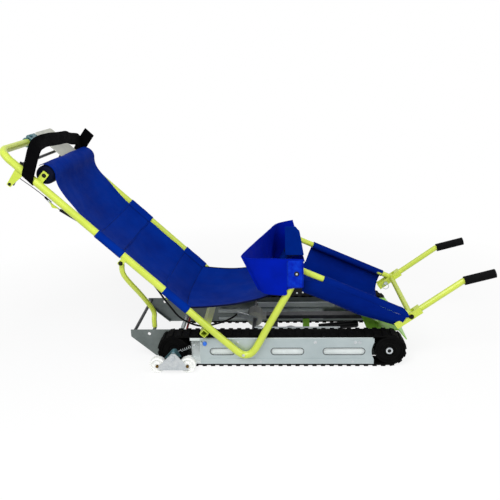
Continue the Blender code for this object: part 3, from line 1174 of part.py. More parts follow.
def tube_ring(radius, wire):
    """A closed ring of round wire in the XY plane."""
    mesh = bpy.data.meshes.new("ring")
    shape = bmesh.new()
    profile = [shape.verts.new((radius + wire * x, 0.0, wire * z)) for x, z in circle(0, 0, 1.0, 8)]
    edges = [shape.edges.new((profile[i], profile[(i + 1) % 8])) for i in range(8)]
    bmesh.ops.spin(shape, geom=profile + edges, cent=(0, 0, 0), axis=(0, 0, 1), angle=2 * math.pi,
                   steps=2 * ROUND_SIDES, use_merge=True)
    bmesh.ops.remove_doubles(shape, verts=shape.verts, dist=1e-6)
    bmesh.ops.recalc_face_normals(shape, faces=shape.faces)
    shape.to_mesh(mesh)
    shape.free()
    return shade_round(mesh)


def build_chassis(root):
    """The tracks, drums, wheels and brake, each under the empty of its own axis."""
    front_axis = axis_empty("front_drum_axis", root, (FRONT_AXLE_X, 0, AXLE_Z))
    arm_axis = axis_empty("brake_arm_axis", root, (GOVERNOR_X, 0, GOVERNOR_Z))
    bogie_axis = axis_empty("centre_bogie_axis", root, (BOGIE_X, 0, BOGIE_Z))
    rear_axes = {}
    caster_axes = {}
    caster_wheels = {}
    bogie_wheels = {}
    for name, sign in SIDES:
        rear_axes[name] = axis_empty("rear_drum_axis_" + name, root, (REAR_AXLE_X, sign * BELT_Y, AXLE_Z))
        caster_axes[name] = axis_empty("caster_axis_" + name, root, (REAR_AXLE_X, 0, AXLE_Z))
        for end, step in (("rear", -1), ("front", 1)):
            spot = (step * CASTER_WHEELBASE / 2, sign * WHEEL_Y, -CASTER_DROP)
            caster_wheels[name, end] = axis_empty(f"caster_wheel_axis_{name}_{end}", caster_axes[name], spot)
    for end, step in (("rear", -1), ("front", 1)):
        spot = (step * BOGIE_WHEELBASE / 2, 0, WHEEL_RADIUS + WHEEL_LIFT - BOGIE_Z)
        bogie_wheels[end] = axis_empty("centre_wheel_axis_" + end, bogie_axis, spot)
    build_belts(root)
    build_plates(root)
    build_drums(root, front_axis, rear_axes)
    build_casters(root, caster_axes, caster_wheels)
    build_bogie(bogie_axis, bogie_wheels)
    build_brake(root, arm_axis)
    build_front_bracket(root)


def build_seat(root):
    """The folding seat frame and what it carries."""
    vertex = axis_empty("seat_axis", root, (VERTEX_X, 0, VERTEX_Z))
    back = axis_empty("back_frame", vertex, (0, 0, 0), BACK_ANGLE)
    knee = axis_empty("knee_axis", vertex, (KNEE_X - VERTEX_X, 0, KNEE_Z - VERTEX_Z), LEG_ANGLE)
    brake_axis = axis_empty("brake_bar_axis", back, (-GUSSET_AT, 0, -GUSSET_DEPTH), -BRAKE_LEAN)
    prop_axes = {}
    foot_axes = {}
    for name, sign in SIDES:
        drop = TUBE_RADIUS + SEAT_GAP + PROP_RADIUS
        prop_axes[name] = axis_empty("prop_axis_" + name, back, (-PROP_AT, 0, -drop))
        foot_axes[name] = axis_empty("foot_axis_" + name, knee, (LEG_LENGTH, 0, 0), -LEG_ANGLE)
    pin = Vector(HANDLE_BEND).normalized() * -LOCK_PIN_BACK
    pin_axis = axis_empty("lock_pin_axis", foot_axes["left"], (pin.x, LEG_INNER_Y, pin.y))
    build_frame_tubes(vertex, back)
    build_push_bar(back)
    build_brake_bar(brake_axis)
    build_back_sling(back)
    build_seat_sling(vertex)
    build_head_pieces(back)
    build_thigh_belt(vertex)
    build_props(prop_axes)
    build_brake_cable(vertex)
    build_leg(knee)
    build_handles(foot_axes, pin_axis)


def centre_on_floor(root):
    """Move the whole chair so that its box is centred on the origin along X."""
    bpy.context.view_layer.update()
    graph = bpy.context.evaluated_depsgraph_get()
    xs = []
    for piece in PARTS.objects:
        if piece.type == 'MESH':
            shape = piece.evaluated_get(graph)
            xs += [(piece.matrix_world @ v.co).x for v in shape.data.vertices]
    root.location.x -= (min(xs) + max(xs)) / 2
    bpy.context.view_layer.update()


def main():
    """Build every sub-assembly, centre the chair and print where its axes lie."""
    root = axis_empty("chassis_frame", None, (0, 0, 0))
    build_chassis(root)
    build_seat(root)
    centre_on_floor(root)
    for piece in PARTS.objects:
        if piece.type == 'EMPTY':
            print(piece.name, [round(v, 5) for v in piece.matrix_world.translation])


main()
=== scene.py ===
"""Dressed model of a tracked evacuation chair: its fabrics, finishes, fasteners and studio.

The passenger faces +X, the floor is Z = 0 and right is the -Y side. Lengths are in metres.
"""
import json
import logging
import math
from dataclasses import dataclass, field, replace
from enum import Enum
from typing import Any, Iterable, Sequence

import bmesh
import bpy
import numpy as np
from bpy.types import Material, Mesh, Node, NodeSocket, NodeTree, Object
from mathutils import Matrix, Vector, noise


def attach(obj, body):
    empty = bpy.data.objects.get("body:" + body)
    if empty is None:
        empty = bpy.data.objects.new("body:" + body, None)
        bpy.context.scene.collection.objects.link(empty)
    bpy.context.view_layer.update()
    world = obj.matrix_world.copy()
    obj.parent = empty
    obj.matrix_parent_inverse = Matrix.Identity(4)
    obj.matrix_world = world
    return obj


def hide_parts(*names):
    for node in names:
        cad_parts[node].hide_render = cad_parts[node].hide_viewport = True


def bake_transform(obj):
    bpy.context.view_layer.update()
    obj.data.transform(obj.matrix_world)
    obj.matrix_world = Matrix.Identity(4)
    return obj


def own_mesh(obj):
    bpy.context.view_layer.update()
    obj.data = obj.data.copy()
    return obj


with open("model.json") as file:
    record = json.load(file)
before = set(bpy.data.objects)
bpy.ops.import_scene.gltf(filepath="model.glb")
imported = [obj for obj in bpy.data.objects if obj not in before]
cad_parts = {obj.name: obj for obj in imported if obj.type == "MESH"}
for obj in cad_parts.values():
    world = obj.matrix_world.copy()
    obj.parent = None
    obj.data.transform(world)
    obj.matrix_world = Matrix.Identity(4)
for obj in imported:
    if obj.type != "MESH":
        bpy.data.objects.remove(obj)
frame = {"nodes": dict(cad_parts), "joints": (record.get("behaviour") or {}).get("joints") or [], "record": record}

LOG = logging.getLogger("evacuation_chair")
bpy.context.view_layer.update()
WELD = 1e-7
SIDES = (("right", -1.0), ("left", 1.0))
ACROSS = (0.0, 1.0, 0.0)

Pairs = tuple[tuple[float, float], ...]
Knots = tuple[tuple[float, float, float], ...]


def linear(code: str) -> tuple[float, float, float, float]:
    """Turn an sRGB hex colour into linear RGBA.

    Args:
        code: the colour as "#RRGGBB".

    Returns:
        Linear red, green, blue and full alpha.
    """
    parts = [int(code[i:i + 2], 16) / 255.0 for i in (1, 3, 5)]
    shown = [p / 12.92 if p <= 0.04045 else ((p + 0.055) / 1.055) ** 2.4 for p in parts]
    return shown[0], shown[1], shown[2], 1.0


def add_node(tree: NodeTree, kind: str, settings: dict[str, Any] | None = None,
             inputs: dict[Any, Any] | None = None) -> Node:
    """Add one node with its settings, and set or link its inputs.

    Args:
        tree: the node tree that gets the node.
        kind: the node's type name.
        settings: properties of the node by name.
        inputs: values or output sockets by input name or index.

    Returns:
        The new node.
    """
    node = tree.nodes.new(kind)
    for key, value in (settings or {}).items():
        setattr(node, key, value)
    for key, value in (inputs or {}).items():
        if isinstance(value, NodeSocket):
            tree.links.new(value, node.inputs[key])
        else:
            node.inputs[key].default_value = value
    return node


class Coords(Enum):
    """What a finish's pattern is laid out on."""

    OBJECT = "Object"
    CLOTH = "UV"


@dataclass(frozen=True)
class Finish:
    """A surface finish, patterned by three sizes: wide blotches, handling marks and a fine grain."""

    name: str
    colour: str
    shade: str
    roughness: float
    metallic: float = 0.0
    blotch_mm: float = 80.0
    mark_mm: float = 14.0
    grain_mm: float = 1.0
    relief_mm: float = 0.04
    relief: float = 0.3
    swing: float = 0.10
    coat: float = 0.0
    specular: float = 0.5
    stretch: tuple[float, float, float] = (1.0, 1.0, 1.0)
    coords: Coords = Coords.OBJECT

    def material(self) -> Material:
        """Build the finish's material once and hand it out again after that."""
        known = bpy.data.materials.get(self.name)
        if known:
            return known
        material = bpy.data.materials.new(self.name)
        material.use_nodes = True
        tree = material.node_tree
        shader = tree.nodes["Principled BSDF"]
        for socket, value in (("Metallic", self.metallic), ("Specular IOR Level", self.specular),
                              ("Coat Weight", self.coat), ("Coat Roughness", 0.25)):
            shader.inputs[socket].default_value = value
        place = add_node(tree, "ShaderNodeTexCoord").outputs[self.coords.value]
        self.paint(tree, shader, place)
        height = self.grain(tree, place)
        bump = add_node(tree, "ShaderNodeBump", None,
                        {"Strength": self.relief, "Distance": self.relief_mm / 1000.0, "Height": height})
        tree.links.new(bump.outputs["Normal"], shader.inputs["Normal"])
        return material

    def paint(self, tree: NodeTree, shader: Node, place: NodeSocket) -> None:
        """Colour and gloss, both uneven over the blotch and mark sizes.

        Args:
            tree: the material's node tree.
            shader: its Principled shader.
            place: the coordinates that the pattern follows.
        """
        blotch = add_node(tree, "ShaderNodeTexNoise", None, {
            "Vector": place, "Scale": 1000.0 / self.blotch_mm, "Detail": 4.0, "Roughness": 0.6})
        share = add_node(tree, "ShaderNodeMapRange", None,
                         {"Value": blotch.outputs["Fac"], "From Min": 0.35, "From Max": 0.70})
        mix = add_node(tree, "ShaderNodeMix", {"data_type": 'RGBA'},
                       {"Factor": share.outputs["Result"], "A": linear(self.colour), "B": linear(self.shade)})
        tree.links.new(mix.outputs[2], shader.inputs["Base Color"])
        mark = add_node(tree, "ShaderNodeTexNoise", None,
                        {"Vector": place, "Scale": 1000.0 / self.mark_mm, "Detail": 6.0, "Roughness": 0.7})
        gloss = add_node(tree, "ShaderNodeMapRange", None,
                         {"Value": mark.outputs["Fac"], "From Min": 0.3, "From Max": 0.7,
                          "To Min": self.roughness - self.swing, "To Max": self.roughness + self.swing})
        tree.links.new(gloss.outputs["Result"], shader.inputs["Roughness"])

    def grain(self, tree: NodeTree, place: NodeSocket) -> NodeSocket:
        """A fine noise, drawn out along one axis where the finish is brushed.

        Args:
            tree: the material's node tree.
            place: the coordinates that the pattern follows.

        Returns:
            The socket that gives the height.
        """
        drawn = add_node(tree, "ShaderNodeMapping", None, {"Vector": place, "Scale": self.stretch})
        fine = add_node(tree, "ShaderNodeTexNoise", None,
                        {"Vector": drawn.outputs["Vector"], "Scale": 1000.0 / self.grain_mm, "Detail": 3.0})
        return fine.outputs["Fac"]


@dataclass(frozen=True)
class WovenFinish(Finish):
    """A woven cloth: two crossed sets of threads on the piece's own UV map, which is in metres."""

    thread_mm: float = 2.0
    rib: float = 1.0

    def grain(self, tree: NodeTree, place: NodeSocket) -> NodeSocket:
        """Warp and weft as crossed waves, with the warp stretched by the rib."""
        period = 314.16  # a wave repeats every pi / 10 metres at scale 1
        warp = add_node(tree, "ShaderNodeTexWave", {"bands_direction": 'X'},
                        {"Vector": place, "Scale": period / (self.thread_mm * self.rib), "Distortion": 0.3})
        weft = add_node(tree, "ShaderNodeTexWave", {"bands_direction": 'Y'},
                        {"Vector": place, "Scale": period / self.thread_mm, "Distortion": 0.3})
        both = add_node(tree, "ShaderNodeMath", {"operation": 'ADD'},
                        {0: warp.outputs["Fac"], 1: weft.outputs["Fac"]})
        return both.outputs["Value"]


@dataclass(frozen=True)
class CellFinish(Finish):
    """A foamed surface: small closed cells that break the light."""

    def grain(self, tree: NodeTree, place: NodeSocket) -> NodeSocket:
        """Cell walls from a Voronoi distance."""
        cells = add_node(tree, "ShaderNodeTexVoronoi", None,
                         {"Vector": place, "Scale": 1000.0 / self.grain_mm})
        return cells.outputs["Distance"]


# Powder coat, baked on steel tube: a pale bright lime with a slight orange peel under a soft gloss.
LIME = Finish("lime_powder_coat", "#C3D247", "#B2C43A", 0.36, blotch_mm=120.0, grain_mm=1.6, relief_mm=0.06,
              relief=0.25, coat=0.15)
# Polyurethane-coated nylon: deep royal blue with a plain weave under the coat. The real threads are 0.5 mm
# apart and are drawn at 2 mm so that they show.
BLUE = WovenFinish("royal_blue_coated_nylon", "#012A8A", "#012078", 0.60, blotch_mm=150.0, mark_mm=40.0,
                   relief_mm=0.12, relief=0.30, specular=0.015, coords=Coords.CLOTH, thread_mm=2.0)
# Painted shade: the leg sling wears the same cloth with its blue painted deeper, for the slack folds that turn
# from the light.
BLUE_PAINTED_SHADE = replace(BLUE, name="deep_blue_coated_nylon", colour="#011E74", shade="#011664")
# The belt is the same nylon, a little more violet.
BELT = replace(BLUE, name="violet_blue_coated_nylon", colour="#00199C", shade="#001688", roughness=0.58,
               blotch_mm=90.0, specular=0.02)
# The patch over the right knee bolt is the belt's nylon mottled with a brighter blue: a painted highlight for the
# sheen where the cloth is stretched over the knee plate.
SHEEN_PATCH = replace(BELT, name="rubbed_blue_nylon", shade="#0838BC", roughness=0.50, blotch_mm=22.0, mark_mm=9.0,
                specular=0.04)
# The thick hems, the seat's binding and the thread are the same nylon in a near-black navy, so a seam reads as a
# dark line.
HEM = Finish("navy_nylon_thread", "#020832", "#020626", 0.65, grain_mm=0.8, relief_mm=0.1, specular=0.06)
# Polyester webbing: ribbed across its length, dull black. The real ribs are about 1 mm apart and are drawn
# coarser so that they show.
WEBBING = WovenFinish("black_polyester_webbing", "#020203", "#050506", 0.80, relief_mm=0.35, relief=0.6,
                      specular=0.03, coords=Coords.CLOTH, thread_mm=2.4, rib=2.5)
# Moulded rubber of the belts and drums: dull, nearly black, greyed by floor dust.
RUBBER = Finish("moulded_belt_rubber", "#030303", "#0A0A0A", 0.76, blotch_mm=30.0, grain_mm=0.9,
                relief_mm=0.12, specular=0.06)
# Glass-filled nylon mouldings: black, satin, with a spark-eroded grain.
BLACK = Finish("black_moulded_nylon", "#070708", "#0D0E10", 0.46, blotch_mm=40.0, grain_mm=0.7,
               relief_mm=0.05, specular=0.15)
# Expanded foam rubber: soft black with fine cells, drawn at about three times their real size.
FOAM = CellFinish("black_foam_rubber", "#030304", "#070709", 0.84, blotch_mm=25.0, grain_mm=1.6,
                  relief_mm=0.25, relief=0.5, specular=0.10)
# The bolster's cover is a dark navy nylon over soft foam, so its highlight is broad and dull.
ROLL = Finish("navy_padded_cover", "#020823", "#010618", 0.62, blotch_mm=60.0, grain_mm=1.2, relief_mm=0.10,
              specular=0.08)
# Aluminium sheet with a brushed and clear anodised face: pale grey, drawn out along the track.
ALUMINIUM = Finish("brushed_anodised_aluminium", "#B6C1C2", "#A5B1B3", 0.46, 0.55, blotch_mm=180.0,
                   mark_mm=30.0, grain_mm=1.0, relief_mm=0.03, stretch=(0.03, 1.0, 1.0))
# The inner plates are bare mill-finish aluminium, painted a dark grey for the shade between the tracks under the
# seat: painted shade.
ALUMINIUM_PAINTED_SHADE = Finish("dull_mill_aluminium", "#727A78", "#5E6664", 0.50, 0.55, blotch_mm=90.0, mark_mm=20.0,
              grain_mm=1.0, relief_mm=0.04, stretch=(0.05, 1.0, 1.0))
# Red enamel on a steel rod: dark and slightly glossy.
RED = Finish("red_enamel", "#8E0A12", "#6E060C", 0.35, blotch_mm=20.0, grain_mm=0.8)
# The rails and the webs behind the slots are milled aluminium painted near-white, paler and duller than the
# brushed plate, so that they read bright though the seat shades them: painted light.
RAIL_PAINTED_LIGHT = Finish("milled_aluminium_rail", "#DCE3E2", "#C8D0CF", 0.50, 0.10, blotch_mm=60.0, mark_mm=20.0,
              grain_mm=1.0, relief_mm=0.03)
# The brackets between the tracks have the same powder coat painted a darker, greener lime, for the shade they sit
# in under the seat: painted shade.
LIME_PAINTED_SHADE = Finish("green_powder_coat", "#8CCB3A", "#7BBB2E", 0.40, blotch_mm=60.0, grain_mm=1.6, relief_mm=0.06,
               relief=0.25, coat=0.1)
# Zinc-plated and passivated steel: bright grey with a faint cold cast.
ZINC = Finish("zinc_plated_steel", "#CDD1D2", "#B4BBC0", 0.32, 0.85, blotch_mm=20.0, mark_mm=6.0,
              grain_mm=0.6)
# Blue-passivated zinc: the clamp's cold blue-green cast.
BLUED = Finish("blue_passivated_zinc", "#5C8189", "#48696F", 0.36, 0.80, blotch_mm=14.0, mark_mm=5.0,
               grain_mm=0.6)
# Yellow-passivated nuts: a dull brass colour.
BRASSY = Finish("yellow_passivated_zinc", "#7A5A1E", "#4A3A16", 0.38, 0.85, blotch_mm=6.0, mark_mm=3.0,
                grain_mm=0.5)
# Black-oxide steel: dark and oily.
DARK_STEEL = Finish("black_oxide_steel", "#2B2C30", "#3B3C40", 0.40, 0.8, blotch_mm=18.0, mark_mm=5.0,
                    grain_mm=0.6)
# Cast nylon wheels: off-white, scuffed grey by use.
NYLON = Finish("cast_white_nylon", "#F4F5F2", "#E0E2DE", 0.42, blotch_mm=16.0, mark_mm=5.0, grain_mm=0.8,
               relief_mm=0.05)
# Grey moulded polymer: satin with a fine grain.
GREY = Finish("grey_moulded_polymer", "#BFC0B3", "#AEB1A8", 0.50, blotch_mm=50.0, grain_mm=0.8,
              relief_mm=0.05)
# Blue moulded cap: a bright glossy nylon plug.
CAP = Finish("bright_blue_nylon", "#1E6FE0", "#1A62C8", 0.35, blotch_mm=12.0, grain_mm=0.6)

SLOT_FINISH = {
    "lime_paint": LIME, "blue_fabric": BLUE, "black_webbing": WEBBING, "belt_rubber": RUBBER,
    "black_plastic": BLACK, "grip_foam": FOAM, "silver_plate": ALUMINIUM, "white_nylon": NYLON,
    "dark_steel": DARK_STEEL, "grey_plastic": GREY, "zinc_steel": ZINC,
}
# Painted light and shade: the rails get a paler finish for light, the brackets and inner plates darker ones for
# the shade between the tracks.
NODE_FINISH = {"slide_rail_left": RAIL_PAINTED_LIGHT, "slide_rail_right": RAIL_PAINTED_LIGHT, "strut_bracket": LIME_PAINTED_SHADE,
               "front_bracket": LIME_PAINTED_SHADE, "inner_plate_left": ALUMINIUM_PAINTED_SHADE, "inner_plate_right": ALUMINIUM_PAINTED_SHADE}


@dataclass(frozen=True)
class LocalFrame:
    """A frame of the chair: an origin, a turn about Y and which way its long axis runs."""

    origin: tuple[float, float, float]
    turn: float
    sense: float

    def at(self, along: Any, side: Any, out: Any) -> np.ndarray:
        """Points of the model from distances in this frame.

        Args:
            along: distance along the frame's long axis.
            side: distance to the passenger's left.
            out: distance out of the frame's plane, towards the passenger.

        Returns:
            An array of points with a last axis of three.
        """
        along, side, out = np.broadcast_arrays(np.asarray(along, float), np.asarray(side, float),
                                               np.asarray(out, float))
        x = self.sense * along
        c, s = math.cos(self.turn), math.sin(self.turn)
        return np.stack([self.origin[0] + x * c + out * s, self.origin[1] + side,
                         self.origin[2] - x * s + out * c], axis=-1)

    def outward(self) -> np.ndarray:
        """The direction out of the frame's plane, of length one."""
        return self.at(0.0, 0.0, 1.0) - self.at(0.0, 0.0, 0.0)


JOINTS = {joint["name"]: joint for joint in frame["joints"]}
VERTEX = tuple(JOINTS["seat_fold"]["pos_m"])
KNEE = tuple(JOINTS["leg_fold"]["pos_m"])
BACK = LocalFrame(VERTEX, math.radians(43.8), -1.0)
LEG = LocalFrame(KNEE, math.radians(24.0), 1.0)
LEVEL = LocalFrame((VERTEX[0], 0.0, 0.0), 0.0, 1.0)


@dataclass(frozen=True)
class TubeSizes:
    """The tube frame's sizes that the soft pieces hang on, and the bolster's place on the back tubes."""

    radius: float = 0.0125
    centre_y: float = 0.233
    inner_y: float = 0.2205
    leg_radius: float = 0.0105
    leg_y: float = 0.190
    bolster_at: float = 0.901
    bolster_rise: float = 0.0325


TUBES = TubeSizes()


def smooth_path(knots: Sequence[Sequence[float]], steps: int) -> np.ndarray:
    """A Catmull-Rom line through knots.

    Args:
        knots: the points that the line goes through.
        steps: how many pieces each span is cut into.

    Returns:
        The points of the line.
    """
    pts = np.asarray(knots, float)
    pts = np.vstack([2 * pts[0] - pts[1], pts, 2 * pts[-1] - pts[-2]])
    line = []
    for i in range(1, len(pts) - 2):
        a, b, c, d = pts[i - 1:i + 3]
        for t in np.linspace(0.0, 1.0, steps, endpoint=False):
            line.append(0.5 * (2 * b + (c - a) * t + (2 * a - 5 * b + 4 * c - d) * t * t
                               + (3 * b - 3 * c + d - a) * t ** 3))
    line.append(pts[-2])
    return np.array(line)


def lengths(points: np.ndarray) -> np.ndarray:
    """Distance run along a line, from zero at its first point."""
    return np.concatenate([[0.0], np.cumsum(np.linalg.norm(np.diff(points, axis=0), axis=1))])


def resample(points: np.ndarray, count: int) -> np.ndarray:
    """The same line cut into even pieces."""
    run = lengths(points)
    even = np.linspace(0.0, run[-1], count)
    return np.stack([np.interp(even, run, points[:, k]) for k in range(points.shape[1])], axis=1)


def ramp(values: np.ndarray, low: float, high: float) -> np.ndarray:
    """A share that grows from nought at low to one at high."""
    return np.clip((values - low) / (high - low), 0.0, 1.0)


def grid_mesh(name: str, points: np.ndarray) -> Mesh:
    """A grid of faces with a UV map in metres.

    Args:
        name: the mesh's name.
        points: rows by columns by three.

    Returns:
        The mesh.
    """
    rows, cols = points.shape[:2]
    index = np.arange(rows * cols).reshape(rows, cols)
    faces = np.stack([index[:-1, :-1], index[:-1, 1:], index[1:, 1:], index[1:, :-1]], -1).reshape(-1, 4)
    mesh = bpy.data.meshes.new(name)
    mesh.from_pydata(points.reshape(-1, 3).tolist(), [], faces.tolist())
    uv = np.stack(np.meshgrid(lengths(points[rows // 2]), lengths(points[:, cols // 2])), -1).reshape(-1, 2)
    loops = np.empty(len(mesh.loops), dtype=np.int32)
    mesh.loops.foreach_get("vertex_index", loops)
    mesh.uv_layers.new(name="UVMap").data.foreach_set("uv", uv[loops].astype(np.float32).ravel())
    return mesh


def wrinkle(points: np.ndarray, depth: float, size: float, pull: Sequence[float], seed: float) -> np.ndarray:
    """Lift and sink a grid of points by a smooth noise.

    Args:
        points: rows by columns by three.
        depth: how far a point may move.
        size: how wide a wrinkle is.
        pull: stretch of the wrinkles along X, Y and Z.
        seed: shifts the noise, so that no two pieces match.

    Returns:
        The moved points.
    """
    down = np.gradient(points, axis=0)
    across = np.gradient(points, axis=1)
    facing = np.cross(across, down)
    facing /= np.maximum(np.linalg.norm(facing, axis=-1, keepdims=True), 1e-9)
    moved = points.copy()
    for index in np.ndindex(points.shape[:2]):
        p = points[index]
        spot = Vector((p[0] / pull[0], p[1] / pull[1], p[2] / pull[2])) / size
        spot += Vector((seed, 1.7 * seed, -seed))
        moved[index] = p + facing[index] * depth * noise.noise(spot)
    return moved


def new_piece(name: str, mesh: Mesh) -> Object:
    """Link a mesh as an object at the origin."""
    piece = bpy.data.objects.new(name, mesh)
    bpy.context.scene.collection.objects.link(piece)
    return piece


def baked(piece: Object) -> Object:
    """Turn a piece with modifiers into a plain mesh."""
    graph = bpy.context.evaluated_depsgraph_get()
    mesh = bpy.data.meshes.new_from_object(piece.evaluated_get(graph))
    mesh.name = piece.name
    piece.modifiers.clear()
    piece.data = mesh
    return piece


def sheet_piece(name: str, points: np.ndarray, thickness: float) -> Object:
    """A cloth piece of even thickness from a grid of points.

    Args:
        name: the piece's name.
        points: rows by columns by three.
        thickness: the cloth's thickness.

    Returns:
        The piece, as a plain smooth mesh.
    """
    piece = new_piece(name, grid_mesh(name, points))
    wall = piece.modifiers.new("wall", 'SOLIDIFY')
    wall.thickness = thickness
    wall.offset = 0.0
    soft = piece.modifiers.new("soft", 'SUBSURF')
    soft.levels = soft.render_levels = 1
    baked(piece)
    piece.data.shade_smooth()
    return piece


def sealed(mesh: Mesh, capped: bool = True) -> Mesh:
    """Weld a rolled-up grid into a closed mesh whose faces look outwards.

    Args:
        mesh: the grid, whose last column lies on its first.
        capped: whether its two ends are closed by a face, and not by a point on the axis.

    Returns:
        The same mesh.
    """
    shape = bmesh.new()
    shape.from_mesh(mesh)
    bmesh.ops.remove_doubles(shape, verts=shape.verts, dist=WELD)
    if capped:
        bmesh.ops.holes_fill(shape, edges=[e for e in shape.edges if e.is_boundary], sides=0)
    else:
        bmesh.ops.dissolve_degenerate(shape, edges=shape.edges, dist=WELD)
    bmesh.ops.recalc_face_normals(shape, faces=shape.faces)
    shape.to_mesh(mesh)
    shape.free()
    return mesh


def tube_mesh(name: str, rings: np.ndarray) -> Mesh:
    """A closed mesh from rings of points that follow each other."""
    return sealed(grid_mesh(name, np.concatenate([rings, rings[:, :1]], axis=1)))


def shaded(mesh: Mesh, crease: float) -> Mesh:
    """Shade a mesh smooth, but for the edges that turn by more than the crease, in degrees."""
    mesh.shade_smooth()
    mesh.set_sharp_from_angle(angle=math.radians(crease))
    return mesh


def sweep_mesh(name: str, path: np.ndarray, section: np.ndarray,
               up: Sequence[float] | None = None) -> Mesh:
    """A closed bar of one cross-section led along a path.

    Args:
        name: the mesh's name.
        path: the points that the bar follows.
        section: the outline, as pairs across and up.
        up: a direction that the outline's second axis keeps to, or None to carry it along the path.

    Returns:
        The mesh, with a UV map in metres.
    """
    ahead = np.gradient(path, axis=0)
    ahead /= np.linalg.norm(ahead, axis=1, keepdims=True)
    rise = np.array(up if up is not None else (0.0, 0.0, 1.0), float)
    if up is None and abs(ahead[0] @ rise) > 0.9:
        rise = np.array((1.0, 0.0, 0.0))
    rings = []
    for way, spot in zip(ahead, path):
        across = np.cross(way, rise)
        across /= max(np.linalg.norm(across), 1e-9)
        over = np.cross(across, way)
        if up is None:
            rise = over
        rings.append(spot + (section[:, :1] * across + section[:, 1:] * over))
    return shaded(tube_mesh(name, np.array(rings)), 40.0)


def ring_section(radius: float, sides: int = 16) -> np.ndarray:
    """A round outline."""
    turn = np.linspace(0.0, 2 * math.pi, sides, endpoint=False)
    return radius * np.stack([np.cos(turn), np.sin(turn)], axis=1)


def lathe_mesh(name: str, profile: Sequence[tuple[float, float]], centre: Sequence[float], sign: float = 1.0,
               sides: int = 64) -> Mesh:
    """A shape turned about an axis along Y.

    Args:
        name: the mesh's name.
        profile: pairs of radius and distance along the axis, from axis to axis or closed on themselves.
        centre: the axis's place.
        sign: which way the axis runs.
        sides: how many facets go round.

    Returns:
        The closed mesh.
    """
    turn = np.linspace(0.0, 2 * math.pi, sides + 1)
    pts = np.array(profile, float)
    y = np.broadcast_to(centre[1] + sign * pts[:, 1:], (len(pts), sides + 1))
    x, z = centre[0] + pts[:, :1] * np.cos(turn), centre[2] + pts[:, :1] * np.sin(turn)
    rings = np.stack([x, y, z], axis=-1)
    return shaded(sealed(grid_mesh(name, rings), capped=False), 35.0)


def slab_mesh(name: str, place: LocalFrame, loop: np.ndarray, low: float, high: float) -> Mesh:
    """A flat plate with softened edges.

    Args:
        name: the mesh's name.
        place: the frame whose plane the plate lies in.
        loop: the outline, as pairs along and aside.
        low: the lower face's distance out of the frame's plane.
        high: the upper face's distance.

    Returns:
        The closed mesh.
    """
    soft = min(0.0008, (high - low) / 3)
    middle = loop.mean(axis=0)
    inset = loop - soft * (loop - middle) / np.linalg.norm(loop - middle, axis=1, keepdims=True)
    levels = ((inset, low), (loop, low + soft), (loop, high - soft), (inset, high))
    return tube_mesh(name, np.array([place.at(ring[:, 0], ring[:, 1], level) for ring, level in levels]))


def side_plate(name: str, place: LocalFrame, loop: Sequence[tuple[float, float]], y: float,
               thickness: float) -> Mesh:
    """A flat plate that stands on edge, across the chair's width.

    Args:
        name: the mesh's name.
        place: the frame that the outline is given in.
        loop: the outline, as pairs along and out.
        y: the plate's middle plane.
        thickness: the plate's thickness.

    Returns:
        The closed mesh.
    """
    pts = np.array(loop, float)
    faces = [place.at(pts[:, 0], y + step * thickness, pts[:, 1]) for step in (-0.5, 0.5)]
    return tube_mesh(name, np.array(faces))


def rounded(low: Sequence[float], high: Sequence[float], radius: float, steps: int = 6) -> np.ndarray:
    """A rectangle's outline with round corners."""
    line = []
    corners = ((high[0], high[1], -1, -1), (low[0], high[1], 1, -1), (low[0], low[1], 1, 1),
               (high[0], low[1], -1, 1))
    for index, (x, y, sx, sy) in enumerate(corners):
        for turn in np.radians(np.linspace(90.0 * index, 90.0 * index + 90.0, steps)):
            line.append((x + sx * radius + radius * math.cos(turn),
                         y + sy * radius + radius * math.sin(turn)))
    return np.array(line)


def joined(name: str, meshes: Iterable[Mesh]) -> Object:
    """One piece from several meshes."""
    shape = bmesh.new()
    for mesh in meshes:
        shape.from_mesh(mesh)
    whole = bpy.data.meshes.new(name)
    shape.to_mesh(whole)
    shape.free()
    return new_piece(name, whole)


def dress(piece: Object, finish: Finish, slot: str, body: str, *nodes: str) -> Object:
    """Give a piece its finish and the body that it moves with.

    Args:
        piece: the finished piece.
        finish: its surface.
        slot: the record's material slot; not used.
        body: the body that it rides on.
        nodes: the solids that it stands for.

    Returns:
        The same piece.
    """
    piece.data.materials.clear()
    piece.data.materials.append(finish.material())
    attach(piece, body)
    if nodes:
        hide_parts(*nodes)
    LOG.info("%s: %d faces on %s", piece.name, len(piece.data.polygons), body)
    return piece


class Head(Enum):
    """The kinds of fastener head."""

    HEX = "hex_bolt"
    ROUND = "round_rivet"


def group_tree(name: str, sockets: Sequence[tuple[str, str]]) -> NodeTree:
    """An empty geometry tree with named inputs and a geometry output."""
    tree = bpy.data.node_groups.new(name, 'GeometryNodeTree')
    tree.interface.new_socket("Geometry", in_out='INPUT', socket_type='NodeSocketGeometry')
    for label, kind in sockets:
        tree.interface.new_socket(label, in_out='INPUT', socket_type=kind)
    tree.interface.new_socket("Geometry", in_out='OUTPUT', socket_type='NodeSocketGeometry')
    return tree


def close_tree(tree: NodeTree, instances: NodeSocket, material: NodeSocket) -> None:
    """End a tree with plain geometry that carries its material."""
    real = add_node(tree, "GeometryNodeRealizeInstances", None, {0: instances})
    paint = add_node(tree, "GeometryNodeSetMaterial", None, {0: real.outputs[0], "Material": material})
    add_node(tree, "NodeGroupOutput", None, {0: paint.outputs[0]})


